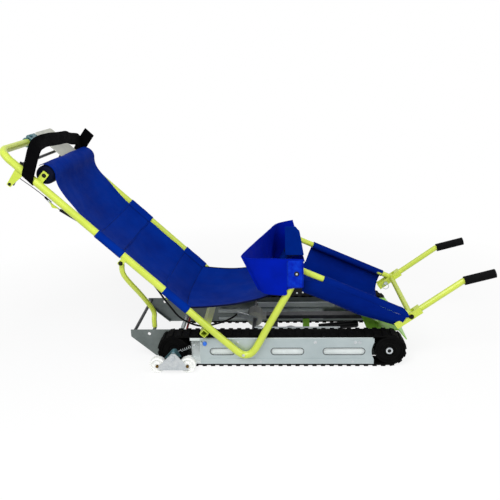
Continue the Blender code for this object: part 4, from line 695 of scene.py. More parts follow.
def fastener_tree(kind: Head) -> NodeTree:
    """The tree that sets a bolt or rivet on each point, facing the way the point says.

    Args:
        kind: the head's kind.

    Returns:
        The tree, built once for each kind.
    """
    known = bpy.data.node_groups.get(kind.value)
    if known:
        return known
    tree = group_tree(kind.value, [("Height", 'NodeSocketFloat'), ("Washer", 'NodeSocketFloat'),
                                   ("Finish", 'NodeSocketMaterial')])
    given = add_node(tree, "NodeGroupInput")
    flat = add_node(tree, "GeometryNodeMeshCylinder", None,
                    {"Vertices": 24, "Radius": given.outputs["Washer"], "Depth": 0.16})
    if kind is Head.HEX:
        body = add_node(tree, "GeometryNodeMeshCylinder", None,
                        {"Vertices": 6, "Radius": 1.0, "Depth": given.outputs["Height"]})
        crown = add_node(tree, "GeometryNodeMeshCone", None,
                         {"Vertices": 18, "Radius Top": 0.62, "Radius Bottom": 0.86, "Depth": 0.10})
        half = add_node(tree, "ShaderNodeMath", {"operation": 'MULTIPLY'},
                        {0: given.outputs["Height"], 1: 0.5})
        lift = add_node(tree, "ShaderNodeCombineXYZ", None, {"Z": half.outputs[0]})
        top = add_node(tree, "GeometryNodeTransform", None,
                       {"Geometry": crown.outputs["Mesh"], "Translation": lift.outputs[0]})
        parts = [flat.outputs["Mesh"], body.outputs["Mesh"], top.outputs["Geometry"]]
    else:
        ball = add_node(tree, "GeometryNodeMeshUVSphere", None, {"Segments": 18, "Rings": 10, "Radius": 1.0})
        squash = add_node(tree, "ShaderNodeCombineXYZ", None,
                          {"X": 1.0, "Y": 1.0, "Z": given.outputs["Height"]})
        dome = add_node(tree, "GeometryNodeTransform", None,
                        {"Geometry": ball.outputs["Mesh"], "Scale": squash.outputs[0]})
        parts = [flat.outputs["Mesh"], dome.outputs["Geometry"]]
    whole = add_node(tree, "GeometryNodeJoinGeometry")
    for part in parts:
        tree.links.new(part, whole.inputs[0])
    facing = add_node(tree, "GeometryNodeInputNamedAttribute", {"data_type": 'FLOAT_VECTOR'},
                      {"Name": "facing"})
    size = add_node(tree, "GeometryNodeInputNamedAttribute", {"data_type": 'FLOAT'}, {"Name": "size"})
    turn = add_node(tree, "FunctionNodeAlignRotationToVector", {"axis": 'Z'},
                    {"Vector": facing.outputs["Attribute"]})
    spread = add_node(tree, "GeometryNodeInstanceOnPoints", None,
                      {"Points": given.outputs["Geometry"], "Instance": whole.outputs[0],
                       "Rotation": turn.outputs[0], "Scale": size.outputs["Attribute"]})
    close_tree(tree, spread.outputs[0], given.outputs["Finish"])
    return tree


def stitch_tree() -> NodeTree:
    """The tree that lays a row of stitches along each edge line."""
    known = bpy.data.node_groups.get("stitch_row")
    if known:
        return known
    tree = group_tree("stitch_row", [("Pitch", 'NodeSocketFloat'), ("Length", 'NodeSocketFloat'),
                                     ("Thread", 'NodeSocketFloat'), ("Finish", 'NodeSocketMaterial')])
    given = add_node(tree, "NodeGroupInput")
    line = add_node(tree, "GeometryNodeMeshToCurve", None, {0: given.outputs["Geometry"]})
    even = add_node(tree, "GeometryNodeResampleCurve", {"mode": 'LENGTH'},
                    {"Curve": line.outputs[0], "Length": given.outputs["Pitch"]})
    thread = add_node(tree, "GeometryNodeMeshCylinder", None,
                      {"Vertices": 5, "Radius": given.outputs["Thread"], "Depth": given.outputs["Length"]})
    along = add_node(tree, "GeometryNodeInputTangent")
    turn = add_node(tree, "FunctionNodeAlignRotationToVector", {"axis": 'Z'}, {"Vector": along.outputs[0]})
    spread = add_node(tree, "GeometryNodeInstanceOnPoints", None, {
        "Points": even.outputs[0], "Instance": thread.outputs["Mesh"], "Rotation": turn.outputs[0]})
    close_tree(tree, spread.outputs[0], given.outputs["Finish"])
    return tree


def run_tree(piece: Object, tree: NodeTree, values: dict[str, Any]) -> Object:
    """Run a geometry tree on a piece and keep the plain mesh.

    Args:
        piece: the points or lines that the tree works on.
        tree: the tree.
        values: the tree's inputs by name.

    Returns:
        The same piece with its new mesh.
    """
    made = piece.modifiers.new("made", 'NODES')
    made.node_group = tree
    for item in tree.interface.items_tree:
        if item.in_out == 'INPUT' and item.name in values:
            made[item.identifier] = values[item.name]
    return baked(piece)


@dataclass
class FastenerSet:
    """Bolts or rivets of one finish on one body."""

    name: str
    body: str
    finish: Finish = ZINC
    slot: str = "zinc_steel"
    kind: Head = Head.HEX
    height: float = 1.1
    washer: float = 1.45
    spots: list[tuple[Any, Any, float]] = field(default_factory=list)

    def add(self, spot: Any, facing: Sequence[float], size: float) -> None:
        """Note one fastener: where it is, which way it faces and its radius."""
        self.spots.append((spot, facing, size))

    def build(self) -> Object:
        """Make the whole set as one piece."""
        mesh = bpy.data.meshes.new(self.name)
        mesh.from_pydata([tuple(map(float, spot)) for spot, _, _ in self.spots], [], [])
        facing = np.array([way for _, way, _ in self.spots], np.float32)
        mesh.attributes.new("facing", 'FLOAT_VECTOR', 'POINT').data.foreach_set("vector", facing.ravel())
        sizes = np.array([size for _, _, size in self.spots], np.float32)
        mesh.attributes.new("size", 'FLOAT', 'POINT').data.foreach_set("value", sizes)
        piece = run_tree(new_piece(self.name, mesh), fastener_tree(self.kind),
                         {"Height": self.height, "Washer": self.washer, "Finish": self.finish.material()})
        if self.kind is Head.ROUND:
            shaded(piece.data, 40.0)
        return dress(piece, self.finish, self.slot, self.body)


STITCH_PITCH = 0.0055
THREAD_RADIUS = 0.0006


def stitches(name: str, lines: Sequence[np.ndarray], body: str, slot: str = "blue_fabric",
             finish: Finish = HEM) -> Object:
    """Rows of stitches along lines.

    Args:
        name: the piece's name.
        lines: the points of each row.
        body: the body that they ride on.
        slot: the record's material slot.
        finish: the thread's finish.

    Returns:
        The piece.
    """
    mesh = bpy.data.meshes.new(name)
    points: list[tuple[float, float, float]] = []
    edges: list[tuple[int, int]] = []
    for line in lines:
        start = len(points)
        points += [tuple(p) for p in line.tolist()]
        edges += [(start + i, start + i + 1) for i in range(len(line) - 1)]
    mesh.from_pydata(points, edges, [])
    piece = run_tree(new_piece(name, mesh), stitch_tree(),
                     {"Pitch": STITCH_PITCH, "Length": STITCH_PITCH * 0.66, "Thread": THREAD_RADIUS,
                      "Finish": finish.material()})
    return dress(piece, finish, slot, body)


@dataclass
class BackSling:
    """The hung back panel, its two sewn bands round the tubes and its way over the bolster."""

    bottom: float = 0.244
    lift_at: float = 0.660
    sag: float = 0.035
    edge: float = 0.004
    half_width: float = 0.2180
    top_half_width: float = 0.2130
    top_shift: float = -0.0030
    thickness: float = 0.0022
    band_thickness: float = 0.0020
    upper_band: tuple[float, float] = (0.545, 0.655)
    lower_band: tuple[float, float] = (0.256, 0.364)
    wrap: float = 0.0345
    meets: float = math.radians(30.0)
    leaves: float = math.radians(165.0)
    slack: float = 0.007
    gap: float = 0.0004
    band_turn: tuple[float, float] = (-35.0, -292.0)
    band_flat: float = 0.208
    seam: float = 0.006
    seam_y: tuple[float, float] = (0.204, 0.200)
    seam_rise: float = 0.0007
    side_seam_rise: float = 0.0038

    def hang(self, y: Any) -> np.ndarray:
        """How far the panel stands out of the tubes' plane at a distance from the middle."""
        return self.edge - self.sag * (1.0 - (np.asarray(y) / TUBES.centre_y) ** 2)

    def panel(self) -> np.ndarray:
        """The panel's grid of points, from its foot up over the bolster."""
        side = np.linspace(-1.0, 1.0, 49)
        rows = []
        low, high = self.lower_band[1], self.upper_band[0]
        y = side * self.half_width
        for at in np.linspace(self.bottom, self.lift_at, 46):
            slack = self.slack * math.sin(math.pi * np.clip((at - low) / (high - low), 0.0, 1.0))
            rows.append(BACK.at(at, y, self.hang(y) - slack * (1.0 - side ** 2)))
        top_at = TUBES.bolster_at - self.wrap * math.cos(self.meets)
        top_out = TUBES.bolster_rise + self.wrap * math.sin(self.meets)
        for share in np.linspace(0.0, 1.0, 36)[1:-1]:
            y = side * (self.half_width + (self.top_half_width - self.half_width) * share)
            rise = self.hang(y) + (top_out - self.hang(y)) * (0.66 * share ** 1.3 + 0.34 * share ** 12)
            at = self.lift_at + (top_at - self.lift_at) * share
            rows.append(BACK.at(at, y + self.top_shift * share ** 2, rise))
        for turn in np.linspace(self.meets, self.leaves, 22):
            y = side * self.top_half_width + self.top_shift
            rows.append(BACK.at(TUBES.bolster_at - self.wrap * math.cos(turn), y,
                                TUBES.bolster_rise + self.wrap * math.sin(turn)))
        return np.array(rows)

    def band(self, low: float, high: float) -> np.ndarray:
        """The grid of one band: a loop round each tube and a strip across the panel."""
        around = TUBES.radius + self.gap + self.band_thickness / 2
        turn = np.radians(np.linspace(*self.band_turn, 22))
        near = np.stack([-TUBES.centre_y + around * np.cos(turn), around * np.sin(turn)], axis=1)
        y = np.linspace(-self.band_flat, self.band_flat, 41)
        middle = np.stack([y, self.hang(y) + self.thickness / 2 + self.band_thickness / 2 + self.gap], axis=1)
        far = near[::-1] * (-1.0, 1.0)
        line = resample(smooth_path(np.vstack([near, middle, far]), 2), 130)
        at = np.linspace(low, high, 14)[:, None]
        return BACK.at(at, line[None, :, 0], line[None, :, 1])

    def build(self) -> None:
        """Make the panel, the bands and their stitching."""
        points = wrinkle(self.panel(), depth=0.0032, size=0.060, pull=(1.0, 2.2, 1.0), seed=3.1)
        panel = dress(sheet_piece("back_sling_panel", points, self.thickness), BLUE, "blue_fabric",
                      "seat_frame", "back_sling")
        rows = []
        for name, (low, high), seed in (("upper", self.upper_band, 7.7), ("lower", self.lower_band, 9.2)):
            grid = wrinkle(self.band(low, high), depth=0.0012, size=0.040, pull=(1.0, 2.0, 1.0), seed=seed)
            strip = sheet_piece(f"back_sling_band_{name}", grid, self.band_thickness)
            dress(strip, BLUE, "blue_fabric", "seat_frame")
            y = np.linspace(-self.seam_y[1], self.seam_y[1], 60)
            out = self.hang(y) + self.thickness / 2 + self.band_thickness + self.seam_rise
            rows += [BACK.at(low + self.seam, y, out), BACK.at(high - self.seam, y, out)]
            at = np.linspace(low + self.seam, high - self.seam, 30)
            rows += [BACK.at(at, sign * inset, self.hang(inset) + self.side_seam_rise)
                     for sign in (-1.0, 1.0) for inset in self.seam_y]
        stitches("back_sling_stitching", rows, "seat_frame")


@dataclass
class SeatSling:
    """The seat panel from the back sling's foot to the knee plates, with its bound edges."""

    rear_at: float = 0.268
    rear_half: float = 0.2165
    front_half: float = 0.1757
    taper: float = 1.3
    front_x: float = 0.172
    front_z: float = 0.275
    dip: float = 0.024
    tuck: float = 0.0035
    swoop: float = 1.6
    thickness: float = 0.0022
    binding: float = 0.0030

    def panel(self, sling: BackSling) -> np.ndarray:
        """The panel's grid of points from its rear edge to its front."""
        side = np.linspace(-1.0, 1.0, 41)
        rear = BACK.at(self.rear_at, side * self.rear_half, sling.hang(side * self.rear_half) - self.tuck)
        rows = []
        for t in np.linspace(0.0, 1.0, 34):
            dip = self.dip * math.sin(math.pi * min(1.0, t * 1.05)) * (0.6 + 0.4 * (1.0 - side ** 2))
            x = rear[:, 0] + (VERTEX[0] + self.front_x - rear[:, 0]) * t
            z = rear[:, 2] + (self.front_z - rear[:, 2]) * t ** self.swoop - dip
            half = self.rear_half + (self.front_half - self.rear_half) * min(1.0, t * self.taper)
            rows.append(np.stack([x, side * half, z], axis=1))
        return np.array(rows)

    def build(self, sling: BackSling) -> None:
        """Make the panel and the dark binding along its two side edges and its front."""
        points = wrinkle(self.panel(sling), depth=0.0030, size=0.055, pull=(2.0, 1.0, 1.0), seed=5.4)
        panel = dress(sheet_piece("seat_sling_panel", points, self.thickness), BLUE, "blue_fabric",
                      "seat_frame", "seat_sling")
        binding = [sweep_mesh("binding", resample(line, 50), ring_section(self.binding, 10))
                   for line in (points[:, 0], points[:, -1], points[-1])]
        hem = dress(joined("seat_sling_binding", binding), HEM, "blue_fabric", "seat_frame")


@dataclass
class LapBelt:
    """The wide belt that stands round the lap, with an inner flap at each knee and, at one, a patch with a painted
    highlight.

    Its edges are knots: a share of the front, an inset as a share of the half width, and a height.
    """

    front: float = 0.209
    reach: float = 0.2473
    flap_y: float = 0.1774
    flap_rear: float = 0.150
    flap_front: tuple[Sequence[float], Sequence[float]] = ((0.256, 0.383, 0.404), (0.2305, 0.2085, 0.192))
    flaps: tuple[tuple[str, float, float, float, float], ...] = (("right", -1.0, 0.300, 0.378, 0.207),
                                                                 ("left", 1.0, 0.284, 0.404, 0.240))
    sleeve: Pairs = ((0.1200, 0.2180), (0.1310, 0.2380), (0.1540, 0.2790), (0.1690, 0.3090), (0.1795, 0.3385))
    thickness: float = 0.0026
    flap_thickness: float = 0.0020
    patch_thickness: float = 0.0014
    patch_gap: float = 0.0010
    sleeve_gap: float = 0.0014
    hem: float = 0.0020
    rim: Knots = ((1.0, 0.0, 0.405), (0.74, 0.0, 0.407), (0.70, 0.0, 0.4075), (0.431, 0.0, 0.409),
                  (0.215, 0.008, 0.4085), (0.057, 0.081, 0.408), (0.033, 0.235, 0.408))
    foot: Knots = ((1.0, 0.0, 0.311), (0.738, 0.0, 0.3035), (0.718, 0.0, 0.2835), (0.53, 0.0, 0.2845),
                   (0.383, 0.016, 0.287), (0.297, 0.089, 0.292), (0.268, 0.243, 0.297))
    far_rim: Knots = ((0.31, 0.90, 0.408), (0.50, 0.33, 0.408), (0.56, 0.18, 0.408), (0.693, 0.085, 0.409),
                      (0.876, 0.0, 0.411))
    far_foot: Knots = ((0.411, 0.344, 0.264), (0.445, 0.146, 0.255), (0.498, 0.012, 0.250),
                       (0.622, 0.0, 0.245), (1.11, 0.0, 0.236))
    patch: tuple[float, float, float, float] = (0.1535, 0.2080, 0.3070, 0.4035)
    height: float = 0.158
    ease: tuple[float, float] = (1.06, 1.08)
    seam: float = 0.003
    seam_rise: float = 0.0022

    def edge(self, near: Knots, far: Knots) -> np.ndarray:
        """One long edge of the belt, from the near front corner round the lap to the far one."""
        knots = [(self.front * x, self.reach * (inset - 1.0), z) for x, inset, z in near]
        knots += [(self.front * x, self.reach * (1.0 - inset), z) for x, inset, z in far]
        line = smooth_path(knots, 10)
        return LEVEL.at(line[:, 0], line[:, 1], line[:, 2])

    def wall(self) -> np.ndarray:
        """The grid of the belt's outer wall."""
        upper = self.edge(self.rim, self.far_rim)
        lower = self.edge(self.foot, self.far_foot)
        share = np.linspace(0.0, 1.0, 22)[:, None, None]
        return lower[None] * (1.0 - share) + upper[None] * share

    def flap(self, sign: float, low: float, high: float, limit: float) -> np.ndarray:
        """The grid of one inner flap, whose front edge leans forward to its foot.

        Args:
            sign: the side, 1 for the left.
            low: the foot's height.
            high: the top's height.
            limit: how far forward the flap may come.

        Returns:
            Rows by columns by three.
        """
        z = np.linspace(low, high, 24)[:, None]
        front = np.minimum(np.interp(z, *self.flap_front), limit)
        share = np.linspace(0.0, 1.0, 20)[None]
        return LEVEL.at(self.flap_rear + (front - self.flap_rear) * share, sign * self.flap_y, z)

    def knee_patch(self) -> np.ndarray:
        """The grid of the doubled cloth round the right knee bolt."""
        x0, x1, z0, z1 = self.patch
        out = self.reach + self.thickness / 2 + self.patch_gap
        return LEVEL.at(np.linspace(x0, x1, 16)[None], -out, np.linspace(z0, z1, 22)[:, None])

    def build(self) -> None:
        """Make the wall, its hems, the sleeve on the left tube, the flaps, the patch and its stitching."""
        grid = wrinkle(self.wall(), depth=0.0022, size=0.050, pull=(1.0, 1.0, 1.6), seed=2.2)
        wall = dress(sheet_piece("lap_belt", grid, self.thickness), BELT, "blue_fabric", "seat_frame",
                     "thigh_belt")
        hems = [sweep_mesh("hem", resample(line, 160), ring_section(self.hem, 8))
                for line in (grid[-1], grid[0])]
        curve = smooth_path(self.sleeve, 6)
        sleeve = sweep_mesh("sleeve", LEVEL.at(curve[:, 0], TUBES.centre_y, curve[:, 1]),
                            ring_section(TUBES.radius + self.sleeve_gap, 24), ACROSS)
        with_wall = [dress(joined("lap_belt_hem", hems), BELT, "blue_fabric", "seat_frame"),
                     dress(joined("lap_belt_sleeve", [sleeve]), BLUE, "blue_fabric", "seat_frame")]
        for name, sign, low, high, limit in self.flaps:
            points = self.flap(sign, low, high, limit)
            cloth = wrinkle(points, depth=0.0012, size=0.030, pull=(1.0, 1.0, 1.0), seed=4.0 + sign)
            flap = sheet_piece(f"lap_belt_flap_{name}", cloth, self.flap_thickness)
            dress(flap, BLUE, "blue_fabric", "seat_frame")
        # Painted highlight: the patch's brighter, mottled blue stands for the sheen over the right knee plate.
        points = wrinkle(self.knee_patch(), depth=0.0009, size=0.016, pull=(1.0, 1.0, 1.0), seed=5.0)
        patch = sheet_piece("lap_belt_patch", points, self.patch_thickness)
        with_wall.append(dress(patch, SHEEN_PATCH, "blue_fabric", "seat_frame"))
        x0, x1, z0, z1 = self.patch
        y = -(self.reach + self.thickness / 2 + self.seam_rise)
        z = np.linspace(z0 + self.seam, z1 - self.seam, 40)
        rows = [LEVEL.at(x0 + self.seam, y, z), LEVEL.at(x1 - self.seam, y, z),
                LEVEL.at(np.linspace(x0 + self.seam, x1 - self.seam, 24), y, z0 + self.seam)]
        stitches("lap_belt_stitching", rows, "seat_frame")


@dataclass
class LegSling:
    """The trough of cloth between the leg tubes, sewn into a sleeve along each one."""

    start: float = 0.093
    end: float = 0.4015
    start_skew: float = 0.009
    end_skew: float = 0.0165
    reach_up: float = 0.0475
    reach_skew: float = 0.0175
    open_end: float = 0.3785
    wall_end: float = 0.038
    bare: float = 0.036
    sag: float = 0.090
    foot_lift: float = 0.016
    folded: float = 0.74
    edge: float = 0.004
    flare: float = 0.0070
    wall: Pairs = ((0.2014, -0.014), (0.1995, -0.032), (0.1930, -0.052), (0.1780, -0.070), (0.1540, -0.0805),
                   (0.1200, -0.0850), (0.0600, -0.0860), (0.0, -0.0860))
    wraps: tuple[float, float] = (-75.0, 180.0)
    open_skew: float = 0.0065
    bowl_half: float = 0.176
    bowl_depth: tuple[float, float] = (0.012, 0.034)
    lift_from: tuple[float, float] = (0.28, 0.41)
    flare_from: tuple[float, float] = (0.320, 0.370)
    flare_y: tuple[float, float] = (0.165, 0.195)
    gap: float = 0.0005
    thickness: float = 0.0022
    hem: float = 0.0019

    @property
    def around(self) -> float:
        """The radius of the cloth's middle where it lies on a tube."""
        return TUBES.leg_radius + self.gap + self.thickness / 2

    def line(self) -> np.ndarray:
        """The cross-section: over one tube, down its outer side, across the trough and up to the other."""
        turn = np.radians(np.linspace(*self.wraps, 24))
        near = np.stack([-TUBES.leg_y + self.around * np.cos(turn), self.around * np.sin(turn)], axis=1)
        half = np.vstack([near, np.array(self.wall) * (-1.0, 1.0)])
        return resample(smooth_path(np.vstack([half, half[-2::-1] * (-1.0, 1.0)]), 4), 190)

    def foot_end(self, line: np.ndarray, tilt: np.ndarray, on_tube: np.ndarray) -> np.ndarray:
        """Where the cloth ends towards the feet: the right sleeve is longer outside than on top.

        Args:
            line: the cross-section.
            tilt: each point's share of the way from the middle to a tube.
            on_tube: which points lie on a tube.

        Returns:
            The distance along the leg for each point of the cross-section.
        """
        turn = np.degrees(np.arctan2(line[:, 1], line[:, 0] + TUBES.leg_y))
        top = np.where(turn > -90.0, np.clip((180.0 - turn) / 120.0, 0.0, 1.0), 0.0)
        wall = ramp(-line[:, 0], 0.090, 0.150)
        trough = self.open_end + self.open_skew * tilt + self.wall_end * wall ** 1.5
        return np.where(on_tube & (tilt < 0.0), self.end + self.end_skew - self.bare * top, trough)

    def grid(self, line: np.ndarray, on_tube: np.ndarray) -> np.ndarray:
        """The cloth's grid of points from knee to feet, with slack that lifts a little at the feet."""
        tilt = np.clip(line[:, 0] / TUBES.leg_y, -1.0, 1.0)
        slow = np.clip(1.0 - (line[:, 0] / self.bowl_half) ** 2, 0.0, 1.0)
        deep = np.where(on_tube, 0.0, np.clip((self.edge - line[:, 1]) / self.sag, 0.0, 1.0))
        quick = ramp(deep * self.sag, *self.bowl_depth)
        bowl = quick * (1.0 - tilt) / 2 + slow * (1.0 + tilt) / 2
        begin = self.start - self.start_skew * tilt - (self.reach_up - self.reach_skew * tilt) * bowl
        stop = self.foot_end(line, tilt, on_tube)
        share = np.linspace(0.0, 1.0, 46)[:, None]
        along = begin[None] * (1.0 - share) + stop[None] * share
        lift = self.foot_lift * ramp(along, *self.lift_from) * deep[None]
        outer = ramp(np.abs(line[:, 0]), *self.flare_y) * (line[:, 1] < 0.006)
        wide = self.flare * ramp(along, *self.flare_from) * outer[None]
        return LEG.at(along, line[None, :, 0] + np.sign(line[None, :, 0]) * wide, line[None, :, 1] + lift)

    def build(self) -> None:
        """Make the two sleeves and the trough between them, with their hems."""
        line = self.line()
        on_tube = np.hypot(np.abs(line[:, 0]) - TUBES.leg_y, line[:, 1]) < self.around + 0.0012
        grid = self.grid(line, on_tube)
        free = np.clip(np.where(on_tube, 0.0, -line[:, 1] / 0.03), 0.0, 1.0)[None, :, None]
        moved = wrinkle(grid, depth=0.0040, size=0.055, pull=(1.8, 1.0, 1.0), seed=6.3)
        grid = grid + (moved - grid) * free
        first, last = np.flatnonzero(~on_tube)[[0, -1]]
        for name, cut, tubes in (("sleeve_right", slice(0, first + 1), ["leg_tube_right"]),
                                 ("trough", slice(first, last + 1), ["leg_tube_right", "leg_tube_left"]),
                                 ("sleeve_left", slice(last, len(line)), ["leg_tube_left"])):
            part = grid[:, cut]
            nodes = ("leg_sling",) if name == "trough" else ()
            # Painted shade: the leg sling's cloth and hems take the blue painted deeper for the shade in its
            # folds.
            cloth = dress(sheet_piece(f"leg_sling_{name}", part, self.thickness), BLUE_PAINTED_SHADE, "blue_fabric",
                          "leg_frame", *nodes)
            hems = [sweep_mesh("hem", resample(edge, part.shape[1]), ring_section(self.hem, 8))
                    for edge in (part[0], part[-1])]
            hem = dress(joined(f"leg_sling_{name}_hem", hems), BLUE_PAINTED_SHADE, "blue_fabric", "leg_frame")
            for piece in (cloth, hem) if name == "trough" else ():
                tuple(LEG.outward())
                tuple(LEG.at(0.2, 0.0, self.edge))
                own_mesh(piece)


@dataclass
class HeadRest:
    """The foam bolster and the strap that stands over it."""

    radius: float = 0.0320
    half_length: float = 0.2215
    strap_at: float = 0.934
    lean: float = math.radians(-23.0)
    width: float = 0.045
    thickness: float = 0.0030
    rise: float = 0.113
    tail: float = 0.105
    reach: float = 0.2478
    meets: float = 0.50
    tail_lean: float = -0.024
    shares: Pairs = ((-1.0, 0.28), (-0.995, 0.74), (-0.925, 0.96), (-0.61, 1.0), (-0.12, 0.92), (0.20, 0.875),
                     (0.43, 0.76), (0.80, 0.64))
    seam_half: float = 0.018
    seam_z: tuple[float, float] = (0.016, 0.052)
    gap: float = 0.0022

    def bolster(self) -> None:
        """A soft roll whose ends are cut square and rounded by wear."""
        r, half = self.radius, self.half_length
        profile = [(0.0, half - 0.002), (r * 0.55, half - 0.001), (r * 0.80, half - 0.002),
                   (r * 0.93, half - 0.006), (r * 0.995, half - 0.014), (r, half - 0.03)]
        profile += [(r * 1.01, y) for y in np.linspace(half * 0.7, -half * 0.7, 25)]
        profile += [(x, -y) for x, y in reversed(profile[:6])]
        centre = BACK.at(TUBES.bolster_at, 0.0, TUBES.bolster_rise)
        mesh = lathe_mesh("head_bolster_roll", profile, centre, 1.0, 72)
        for vertex in mesh.vertices:
            out = Vector((vertex.co.x - centre[0], 0.0, vertex.co.z - centre[2]))
            if out.length > 1e-6:
                vertex.co += out.normalized() * 0.0009 * (noise.noise(vertex.co * 26.0) - 0.4)
        roll = dress(new_piece("head_bolster_roll", mesh), ROLL, "blue_fabric", "seat_frame", "head_bolster")

    def strap(self) -> None:
        """Two lengths of webbing: the near one comes over the head space to meet the standing far one."""
        origin = BACK.at(self.strap_at, 0.0, 0.0)
        place = LocalFrame(tuple(origin), BACK.turn + self.lean, -1.0)
        knots = [(-self.reach, -TUBES.radius)] + [(self.reach * y, self.rise * z) for y, z in self.shares]
        knots.append((self.reach - 0.003, self.rise * self.meets))
        loop = np.radians(np.linspace(-30.0, -180.0, 12))
        around = TUBES.radius + self.gap
        hook = np.stack([-TUBES.centre_y + around * np.cos(loop), around * np.sin(loop)], axis=1)
        near = np.vstack([hook, resample(smooth_path(knots, 8), 110)[6:]])
        stand = np.stack([np.full(30, self.reach), np.linspace(0.004, self.tail, 30)], axis=1)
        far = np.vstack([hook * (-1.0, 1.0), stand])
        across = np.linspace(-self.width / 2, self.width / 2, 9)
        flat = BACK.at(1.0, 0.0, 0.0) - BACK.at(0.0, 0.0, 0.0)
        for name, line, tube, seed in (("near", near, "back_tube_right", 8.0),
                                       ("far", far, "back_tube_left", 1.3)):
            lean = self.tail_lean * np.clip(line[:, 1] / self.tail, 0.0, 1.0) ** 1.5 * (name == "far")
            middle = place.at(lean, line[:, 0], line[:, 1])
            turn = np.clip((line[:, :1] + 0.97 * self.reach) / (0.30 * self.reach), 0.0, 1.0)
            turn *= name == "near"
            way = flat * (1.0 - turn) + np.array((0.0, 0.0, 1.0)) * turn
            way /= np.linalg.norm(way, axis=1, keepdims=True)
            grid = middle[:, None, :] + across[None, :, None] * way[:, None, :]
            grid = wrinkle(grid, depth=0.0014, size=0.045, pull=(1.0, 1.0, 1.0), seed=seed)
            nodes = ("head_strap",) if name == "near" else ()
            piece = dress(sheet_piece(f"head_strap_{name}", grid, self.thickness), WEBBING, "black_webbing",
                          "seat_frame", *nodes)
        rows = []
        t, z = np.linspace(-self.seam_half, self.seam_half, 14), np.linspace(*self.seam_z, 14)
        for face in (-self.reach - self.gap, self.reach + self.gap):
            rows += [place.at(side, face, z) for side in (-self.seam_half, self.seam_half)]
            rows += [place.at(t, face, level) for level in self.seam_z]
        stitches("head_strap_stitching", rows, "seat_frame", "black_webbing", WEBBING)

    def build(self) -> None:
        """Make the bolster and the strap."""
        self.bolster()
        self.strap()


@dataclass
class HeadPlate:
    """The grey plate behind the head and the clamp that holds it on the push bar."""

    low: tuple[float, float] = (0.9265, 0.054)
    high: tuple[float, float] = (1.0695, 0.214)
    rise: float = 0.022
    thickness: float = 0.003
    bar_at: float = 1.054
    clamp_y: tuple[float, float] = (-0.0135, 0.0560)
    clamp_radius: float = 0.0175
    block_reach: tuple[float, float] = (0.016, 0.0155)
    bolt_step: float = 0.008
    bolt_y: float = 0.012
    bolt_radius: float = 0.0046
    corner: float = 0.012

    def build(self) -> None:
        """Make the plate, the clamp and its two bolts."""
        half = self.thickness / 2
        outline = rounded(self.low, self.high, self.corner)
        sheet = slab_mesh("head_plate_sheet", BACK, outline, self.rise - half, self.rise + half)
        dress(new_piece("head_plate_sheet", sheet), GREY, "grey_plastic", "seat_frame", "head_plate")
        long = (self.clamp_y[1] - self.clamp_y[0]) / 2
        bore = TUBES.radius + 0.0004
        ring = [(bore, -long), (self.clamp_radius, -long), (self.clamp_radius, long), (bore, long),
                (bore, -long)]
        middle = BACK.at(self.bar_at, sum(self.clamp_y) / 2, 0.0)
        back, ahead = self.block_reach
        block = rounded((self.bar_at - back, self.clamp_y[0]), (self.bar_at + ahead, self.clamp_y[1]), 0.002)
        pieces = [lathe_mesh("clamp_ring", ring, middle),
                  slab_mesh("clamp_block", BACK, block, bore + 0.001, self.rise - half - 0.0002)]
        dress(joined("head_plate_clamp", pieces), BLUED, "zinc_steel", "seat_frame")
        bolts = FastenerSet("head_plate_bolts", "seat_frame", BLUED)
        for step in (-self.bolt_step, self.bolt_step):
            bolts.add(BACK.at(self.bar_at + step, self.bolt_y, self.rise), BACK.outward(), self.bolt_radius)
        bolts.build()


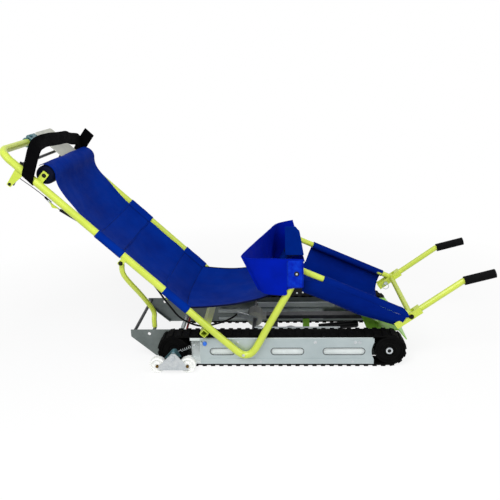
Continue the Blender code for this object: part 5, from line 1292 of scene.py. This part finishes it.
@dataclass
class Tracks:
    """The visible running gear: wheels, drums and what is bolted on the side plates."""

    wheel_radius: float = 0.028
    centre_width: float = 0.015
    caster_width: float = 0.024
    caster_face: float = 0.2705
    drum_radius: float = 0.0496
    drum_width: float = 0.056
    belt_y: float = 0.1845
    carriage: Pairs = ((-0.2460, 0.0760), (-0.2320, 0.0760), (-0.1900, 0.0240), (-0.1900, 0.0180),
                       (-0.1960, 0.0140), (-0.2860, 0.0140), (-0.2960, 0.0180), (-0.2960, 0.0240))
    slot_z: float = 0.059
    slots: Pairs = ((-0.118, -0.030), (0.096, 0.211), (0.277, 0.422))
    rails: tuple[tuple[float, float, float, float], ...] = (
        (0.030, 0.345, 0.088, 0.106), (-0.120, 0.300, 0.063, 0.078), (-0.120, 0.300, 0.034, 0.044))
    web: Pairs = ((-0.140, 0.040), (0.440, 0.078))
    clevis: Pairs = ((-0.2450, 0.0800), (-0.2330, 0.0800), (-0.2170, 0.0500), (-0.2280, 0.0480),
                     (-0.2400, 0.0640), (-0.2660, 0.0420), (-0.2760, 0.0460))
    outer_face: float = 0.218
    axle_z: float = 0.060
    slot_half: float = 0.013
    bolts: Pairs = ((0.388, 0.093), (0.404, 0.093), (-0.020, 0.094), (0.060, 0.020), (0.250, 0.094),
                    (0.380, 0.021))
    socket: Pairs = ((0.0, 0.0), (0.0, 0.0006), (0.0062, 0.0006), (0.0066, 0.0), (0.0, 0.0))
    socket_y: float = 0.2171
    rail_y: float = 0.1185
    rail_thickness: float = 0.009
    web_y: float = 0.2122
    clevis_y: float = 0.2375
    plate_thickness: float = 0.004
    bolt_radius: float = 0.0042
    nut_radius: float = 0.0040
    rod_x: tuple[float, float] = (-0.1948, -0.2153)
    rod_y: float = -0.100
    rod_z: tuple[float, float] = (0.1594, 0.0915)
    rod_radius: float = 0.0042
    plug_at: tuple[float, float] = (-0.135, 0.090)
    plug: Pairs = ((0.0, 0.006), (0.006, 0.0055), (0.0075, 0.004), (0.0078, 0.0), (0.0, 0.0))

    def wheel(self, name: str, node: str, joint: str, width: float) -> None:
        """One moulded wheel with a rim, a web and a hub."""
        r, half = self.wheel_radius, width / 2
        bore, tread = 0.0044, half * 0.7
        side = [(bore, half), (r * 0.34, half), (r * 0.40, tread), (r * 0.70, tread), (r * 0.78, half),
                (r * 0.91, half), (r * 0.97, half * 0.9), (r, tread)]
        profile = side + [(x, -y) for x, y in reversed(side)] + [(bore, half)]
        mesh = lathe_mesh(name, profile, JOINTS[joint]["pos_m"])
        dress(new_piece(name, mesh), NYLON, "white_nylon", JOINTS[joint]["child"], node)

    def drum(self, name: str, node: str, body: str, x: float, sign: float) -> None:
        """One belt drum: a rim, a dished face with a ring and a hub."""
        r, half = self.drum_radius, self.drum_width / 2
        bore = 0.0083
        side = [(bore, half), (0.0120, half), (0.0125, half - 0.003), (0.021, half - 0.004),
                (0.022, half - 0.001), (0.027, half - 0.001), (0.028, half - 0.004),
                (r - 0.007, half - 0.004), (r - 0.006, half), (r - 0.0008, half), (r, half - 0.001)]
        profile = side + [(r, -half), (bore, -half), (bore, half)]
        mesh = lathe_mesh(name, profile, (x, sign * self.belt_y, self.axle_z), sign)
        dress(new_piece(name, mesh), RUBBER, "black_plastic", body, node)

    def fasteners(self) -> None:
        """Bolts of the side plates, and the casters' nuts, plates and clevises."""
        plates = FastenerSet("side_plate_bolts", "chassis")
        for sign in (-1.0, 1.0):
            for x, z in self.bolts:
                plates.add(LEVEL.at(x, sign * self.outer_face, z), (0.0, sign, 0.0), self.bolt_radius)
        plates.build()
        for name, sign in SIDES:
            body = f"caster_{name}"
            nuts = FastenerSet(f"caster_nuts_{name}", body, BRASSY)
            for end in ("rear", "front"):
                spot = JOINTS[f"caster_wheel_{name}_{end}_roll"]["pos_m"]
                nuts.add((spot[0], sign * self.caster_face, spot[2]), (0.0, sign, 0.0), self.nut_radius)
            nuts.build()
            middle = sign * (self.caster_face - self.plate_thickness / 2)
            plate = side_plate("plate", LEVEL, self.carriage, middle, self.plate_thickness)
            dress(new_piece(f"caster_plate_{name}", plate), ZINC, "zinc_steel", body,
                  f"caster_carriage_{name}")
            clevis = side_plate("clevis", LEVEL, self.clevis, sign * self.clevis_y, 0.003)
            dress(new_piece(f"caster_clevis_{name}", clevis), BLUED, "zinc_steel", body)

    def inner_rails(self) -> None:
        """The rails along the inner plates and the webs behind the side plates' slots, in a pale finish that
        paints light on them in the seat's shade.
        """
        for name, sign in SIDES:
            bars = [side_plate("rail", LEVEL, rounded((x0, z0), (x1, z1), 0.002), sign * self.rail_y,
                               self.rail_thickness) for x0, x1, z0, z1 in self.rails]
            dress(joined(f"inner_rails_{name}", bars), RAIL_PAINTED_LIGHT, "silver_plate", "chassis")
            web = side_plate("web", LEVEL, rounded(*self.web, 0.002), sign * self.web_y, 0.001)
            dress(new_piece(f"slide_rail_web_{name}", web), RAIL_PAINTED_LIGHT, "silver_plate", "chassis")

    def details(self) -> None:
        """The dark rings painted round the slots as their edges' shade, the sockets in the front axle's ends and
        the red rod.
        """
        edges, rings = [], []
        for sign in (-1.0, 1.0):
            # Painted shade: a dark ring on the plate's face round each slot stands for the shadow of the slot's
            # edge.
            for x0, x1 in self.slots:
                low, high = self.slot_z - self.slot_half, self.slot_z + self.slot_half
                loop = rounded((x0, low), (x1, high), 0.0128, 9)
                loop = np.vstack([loop, loop[:2]])
                path = LEVEL.at(loop[:, 0], sign * (self.outer_face - 0.0002), loop[:, 1])
                edges.append(sweep_mesh("edge", path, ring_section(0.0011, 8), ACROSS))
            centre = (JOINTS["front_drum_spin"]["pos_m"][0], sign * self.socket_y, self.axle_z)
            rings.append(lathe_mesh("socket", self.socket, centre, sign, 24))
        dress(joined("slot_edges", edges), DARK_STEEL, "dark_steel", "chassis")
        dress(joined("axle_sockets", rings), BLACK, "black_plastic", "front_drums")
        path = LEVEL.at(np.linspace(*self.rod_x, 6), self.rod_y, np.linspace(*self.rod_z, 6))
        rod = sweep_mesh("red_rod", path, ring_section(self.rod_radius, 14))
        dress(new_piece("red_rod", rod), RED, "dark_steel", "chassis")

    def cap(self) -> None:
        """The bright plug in the near plate's top edge."""
        spot = LEVEL.at(self.plug_at[0], -self.outer_face, self.plug_at[1])
        plug = lathe_mesh("blue_plug", self.plug, spot, -1.0, 32)
        dress(new_piece("blue_plug", plug), CAP, "black_plastic", "chassis")

    def build(self) -> None:
        """Make the wheels, the drums, their fasteners and the small parts on the plates."""
        for side in ("right", "left"):
            for end in ("rear", "front"):
                name = f"caster_wheel_{side}_{end}"
                self.wheel(name + "_moulded", name, name + "_roll", self.caster_width)
        for end in ("rear", "front"):
            self.wheel(f"centre_wheel_{end}_moulded", "centre_wheel_" + end, f"centre_wheel_{end}_roll",
                       self.centre_width)
        front_x = JOINTS["front_drum_spin"]["pos_m"][0]
        rear_x = JOINTS["rear_drum_right_spin"]["pos_m"][0]
        for side, sign in SIDES:
            self.drum(f"front_drum_{side}_moulded", "front_drum_" + side, "front_drums", front_x, sign)
            self.drum(f"rear_drum_{side}_moulded", "rear_drum_" + side, "rear_drum_" + side, rear_x, sign)
        self.fasteners()
        self.inner_rails()
        self.details()
        self.cap()


@dataclass
class FrameTubes:
    """The bent tube on each side, in one length, with the bolster's tab and the prop's ear."""

    top: float = 0.9475
    bend: Pairs = ((-0.0700, 0.1131), (-0.0449, 0.0905), (-0.0197, 0.0672), (0.0016, 0.0545),
                   (0.0235, 0.0575), (0.0420, 0.0760), (0.0555, 0.0990), (0.0895, 0.1630),
                   (0.1310, 0.2380), (0.1540, 0.2790), (0.1690, 0.3090), (0.1800, 0.3400))
    tab: tuple[float, float] = (0.022, 0.0445)
    ear_at: float = 0.531
    ear: tuple[float, float] = (0.018, 0.0305)
    ear_y: float = 0.2445
    plate: float = 0.004
    back_end: float = 0.110

    def build(self) -> None:
        """Make both sides."""
        for name, sign in SIDES:
            curve = smooth_path(self.bend, 8)
            low = LEVEL.at(curve[:, 0], sign * TUBES.centre_y, curve[:, 1])
            high = BACK.at(np.linspace(self.top, self.back_end, 12), sign * TUBES.centre_y, 0.0)
            parts = [sweep_mesh("tube", np.vstack([high, low]), ring_section(TUBES.radius, 28), ACROSS)]
            half, tall = self.tab[0] / 2, self.tab[1]
            loop = rounded((TUBES.bolster_at - half, -0.004), (TUBES.bolster_at + half, tall), 0.003)
            parts.append(side_plate("tab", BACK, loop, sign * (TUBES.inner_y + self.plate), self.plate))
            half, deep = self.ear[0] / 2, self.ear[1]
            loop = rounded((self.ear_at - half, -deep), (self.ear_at + half, 0.0), 0.004)
            parts.append(side_plate("ear", BACK, loop, sign * self.ear_y, self.plate))
            dress(joined(f"frame_tube_{name}", parts), LIME, "lime_paint", "seat_frame", f"back_tube_{name}",
                  f"thigh_tube_{name}")


@dataclass
class FrameHardware:
    """The bolts of the seat frame and the handles, and the brake cable with its fittings."""

    cable_y: float = -0.2125
    sheath: float = 0.0034
    wire_radius: float = 0.0014
    wire: Pairs = ((0.9649, -0.036), (0.9049, -0.030), (0.8584, -0.0281), (0.8315, -0.0307),
                   (0.7951, -0.0292), (0.7400, -0.0190))
    held: Knots = ((0.7400, -0.2125, -0.0190), (0.6700, -0.2105, -0.0172), (0.5998, -0.2090, -0.0165),
                   (0.4197, -0.2086, -0.0175))
    slack: Knots = ((-0.2625, -0.1961, 0.2364), (-0.2246, -0.1497, 0.1559), (-0.1649, -0.1004, 0.1038),
                    (-0.1052, -0.0616, 0.0962), (-0.0550, -0.0460, 0.1100), (-0.0330, -0.0392, 0.1240))
    knee: tuple[float, float, float] = (0.186, 0.2512, 0.357)
    knee_radius: float = 0.0040
    ring_y: float = 0.2505
    ring_radius: float = 0.0085
    elbow: tuple[float, float, float] = (0.0012, 0.2463, 0.0581)
    elbow_radius: float = 0.0036
    studs: tuple[tuple[float, float, float, float], ...] = (
        (0.966, 0.2356, -0.064, 0.0044), (0.531, 0.2466, -0.0218, 0.0065),
        (TUBES.bolster_at, 0.2268, TUBES.bolster_rise, 0.0060))
    rivets: Pairs = ((0.1875, 0.2783), (0.207, 0.280))
    rivet_y: float = 0.2204
    rivet_radius: float = 0.0026
    foot_y: float = 0.2062
    foot_radius: float = 0.0060
    stop: Pairs = ((0.8368, -0.0271), (0.7981, -0.0233), (0.8173, -0.0366))
    stop_y: float = -0.2225
    stop_thickness: float = 0.003

    def cable_fittings(self) -> None:
        """The cable's ferrule, adjuster, stop and barrel on the right back tube."""
        for name, finish, slot, ends, radius in (
                ("cable_ferrule", BLACK, "black_plastic", ((0.8584, -0.0281), (0.8405, -0.0299)), 0.0036),
                ("cable_adjuster", ZINC, "zinc_steel", ((0.8449, -0.0294), (0.8315, -0.0307)), 0.0046),
                ("cable_barrel", BLACK, "black_plastic", ((0.7951, -0.0292), (0.7325, -0.0175)), 0.0050)):
            line = np.linspace(ends[0], ends[1], 4)
            rod = sweep_mesh(name, BACK.at(line[:, 0], self.cable_y, line[:, 1]), ring_section(radius, 14))
            dress(new_piece(name, rod), finish, slot, "seat_frame")
        stop = side_plate("cable_stop", BACK, self.stop, self.stop_y, self.stop_thickness)
        dress(new_piece("cable_stop", stop), LIME, "lime_paint", "seat_frame")

    def cable(self) -> None:
        """The bare wire to the barrel, and the sheath on to the brake arm."""
        wire = np.array(self.wire)
        line = smooth_path(BACK.at(wire[:, 0], self.cable_y, wire[:, 1]), 4)
        bare = sweep_mesh("cable_wire", line, ring_section(self.wire_radius, 8))
        dress(new_piece("cable_wire", bare), DARK_STEEL, "dark_steel", "seat_frame")
        knots = np.vstack([BACK.at(*np.array(self.held).T), LEVEL.at(*np.array(self.slack).T)])
        path = resample(smooth_path(knots, 8), 96)
        mesh = sweep_mesh("brake_cable_sheath", path, ring_section(self.sheath, 14))
        sheath = new_piece("brake_cable_sheath", mesh)
        sheath.data.materials.append(BLACK.material())
        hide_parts("brake_cable")
        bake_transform(sheath)
        LOG.info("brake_cable_sheath: %d faces from seat_frame to chassis", len(sheath.data.polygons))

    def build(self) -> None:
        """Make each set of fasteners on its own body, then the cable and its fittings."""
        seat = FastenerSet("seat_frame_bolts", "seat_frame")
        dark = FastenerSet("seat_frame_studs", "seat_frame", BLACK, "black_plastic", Head.ROUND, 0.75, 1.2)
        rings = FastenerSet("knee_bolt_rings", "seat_frame", BLACK, "black_plastic", Head.ROUND, 0.25, 1.0)
        rivets = FastenerSet("knee_rivets", "seat_frame", ZINC, "zinc_steel", Head.ROUND, 0.5, 1.1)
        for sign in (-1.0, 1.0):
            out = (0.0, sign, 0.0)
            for (x, y, z), radius in ((self.elbow, self.elbow_radius), (self.knee, self.knee_radius)):
                seat.add(LEVEL.at(x, sign * y, z), out, radius)
            rings.add(LEVEL.at(self.knee[0], sign * self.ring_y, self.knee[2]), out, self.ring_radius)
            for at, y, rise, radius in self.studs:
                dark.add(BACK.at(at, sign * y, rise), out, radius)
            for x, z in self.rivets:
                rivets.add(LEVEL.at(x, sign * self.rivet_y, z), out, self.rivet_radius)
        for fasteners in (seat, dark, rings, rivets):
            fasteners.build()
        for name, sign in SIDES:
            foot = FastenerSet(f"foot_bolts_{name}", f"handle_{name}", BLACK, "black_plastic")
            spot = JOINTS[f"handle_{name}_fold"]["pos_m"]
            foot.add((spot[0], sign * self.foot_y, spot[2]), (0.0, sign, 0.0), self.foot_radius)
            foot.build()
        self.cable_fittings()
        self.cable()


@dataclass
class Studio:
    """The camera, the pale floor and the soft light."""

    camera_at: tuple[float, float, float] = (0.1406, -2.1159, 1.0211)
    yaw: float = math.radians(-3.2593)
    pitch: float = math.radians(17.2385)
    roll: float = math.radians(-1.5765)
    lens: float = 43.2
    surround: float = 0.40
    near_glow: float = 0.84
    lamps: tuple[tuple[str, tuple[float, float, float], float, float], ...] = (
        ("key", (-0.7, -2.2, 2.6), 1.6, 80.0), ("fill", (1.9, -1.2, 1.7), 1.4, 18.0))
    aim: tuple[float, float, float] = (-0.1, 0.0, 0.3)
    floor_half: float = 9.0
    floor_z: float = -0.0004

    def camera(self) -> None:
        """The camera at the photograph's angle."""
        data = bpy.data.cameras.new("studio_camera")
        data.lens = self.lens
        data.sensor_width = 36.0
        camera = bpy.data.objects.new("studio_camera", data)
        bpy.context.scene.collection.objects.link(camera)
        ahead = Vector((math.sin(self.yaw) * math.cos(self.pitch), math.cos(self.yaw) * math.cos(self.pitch),
                        -math.sin(self.pitch)))
        right = Vector((math.cos(self.yaw), -math.sin(self.yaw), 0.0))
        up = right.cross(ahead)
        across = right * math.cos(self.roll) + up * math.sin(self.roll)
        over = up * math.cos(self.roll) - right * math.sin(self.roll)
        camera.matrix_world = Matrix(((across.x, over.x, -ahead.x, self.camera_at[0] + VERTEX[0]),
                                      (across.y, over.y, -ahead.y, self.camera_at[1]),
                                      (across.z, over.z, -ahead.z, self.camera_at[2]), (0.0, 0.0, 0.0, 1.0)))
        bpy.context.scene.camera = camera

    def seen(self, tree: NodeTree) -> NodeSocket:
        """Whether a ray comes from the camera or off a glossy or clear surface."""
        path = add_node(tree, "ShaderNodeLightPath")
        first = add_node(tree, "ShaderNodeMath", {"operation": 'MAXIMUM'},
                         {0: path.outputs["Is Camera Ray"], 1: path.outputs["Is Glossy Ray"]})
        both = add_node(tree, "ShaderNodeMath", {"operation": 'MAXIMUM'},
                        {0: first.outputs[0], 1: path.outputs["Is Transmission Ray"]})
        return both.outputs[0]

    def floor(self) -> None:
        """A white floor that keeps a pale shadow near the object and runs out to white."""
        mesh = bpy.data.meshes.new("studio_floor")
        corners = [(x * self.floor_half, y * self.floor_half, self.floor_z)
                   for x, y in ((-1, -1), (1, -1), (1, 1), (-1, 1))]
        mesh.from_pydata(corners, [], [(0, 1, 2, 3)])
        floor = new_piece("studio_floor", mesh)
        material = bpy.data.materials.new("white_studio_floor")
        material.use_nodes = True
        tree = material.node_tree
        tree.nodes.remove(tree.nodes["Principled BSDF"])
        matt = add_node(tree, "ShaderNodeBsdfDiffuse", None, {"Color": linear("#F4F4F4")})
        glow = add_node(tree, "ShaderNodeEmission", None, {"Color": (1.0, 1.0, 1.0, 1.0), "Strength": 1.0})
        place = add_node(tree, "ShaderNodeTexCoord")
        shrunk = add_node(tree, "ShaderNodeMapping", None,
                          {"Vector": place.outputs["Object"], "Scale": (0.55, 0.55, 0.55)})
        near = add_node(tree, "ShaderNodeTexGradient", {"gradient_type": 'SPHERICAL'},
                        {"Vector": shrunk.outputs["Vector"]})
        share = add_node(tree, "ShaderNodeMapRange", None,
                         {"Value": near.outputs["Fac"], "From Min": 0.0, "From Max": 0.45, "To Min": 1.0,
                          "To Max": self.near_glow})
        amount = add_node(tree, "ShaderNodeMath", {"operation": 'MULTIPLY'},
                          {0: share.outputs["Result"], 1: self.seen(tree)})
        both = add_node(tree, "ShaderNodeMixShader", None,
                        {0: amount.outputs[0], 1: matt.outputs[0], 2: glow.outputs[0]})
        tree.links.new(both.outputs[0], tree.nodes["Material Output"].inputs["Surface"])
        mesh.materials.append(material)

    def lights(self) -> None:
        """An even white surround and two broad lamps."""
        world = bpy.data.worlds.new("studio_world")
        world.use_nodes = True
        bpy.context.scene.world = world
        tree = world.node_tree
        strength = add_node(tree, "ShaderNodeMapRange", None,
                            {"Value": self.seen(tree), "To Min": self.surround, "To Max": 1.0})
        tree.links.new(strength.outputs["Result"], tree.nodes["Background"].inputs["Strength"])
        tree.nodes["Background"].inputs["Color"].default_value = (1.0, 1.0, 1.0, 1.0)
        for name, spot, size, power in self.lamps:
            data = bpy.data.lights.new(name, 'AREA')
            data.size = size
            data.energy = power
            lamp = bpy.data.objects.new(name, data)
            bpy.context.scene.collection.objects.link(lamp)
            lamp.location = spot
            way = Vector(self.aim) - Vector(spot)
            lamp.rotation_euler = way.to_track_quat('-Z', 'Y').to_euler()

    def build(self) -> None:
        """Set up the camera, floor and lights."""
        bpy.context.scene.view_settings.view_transform = 'Standard'
        self.camera()
        self.floor()
        self.lights()


def dress_solids() -> None:
    """Give every solid that stays the finish of its slot."""
    for entry in frame["record"]["subparts"]:
        solid = frame["nodes"][entry["node"]]
        solid.data.materials.clear()
        finish = NODE_FINISH.get(entry["node"], SLOT_FINISH[entry["material_slot"]])
        solid.data.materials.append(finish.material())
        LOG.info("%s: %s", entry["node"], entry["material_slot"])


def main() -> None:
    """Dress the solids, set up the studio and build the finer pieces in order."""
    logging.basicConfig(level=logging.INFO, format="%(name)s %(message)s")
    dress_solids()
    Studio().build()
    sling = BackSling()
    sling.build()
    SeatSling().build(sling)
    LapBelt().build()
    LegSling().build()
    HeadRest().build()
    HeadPlate().build()
    Tracks().build()
    FrameTubes().build()
    FrameHardware().build()


if __name__ == "__main__":
    main()
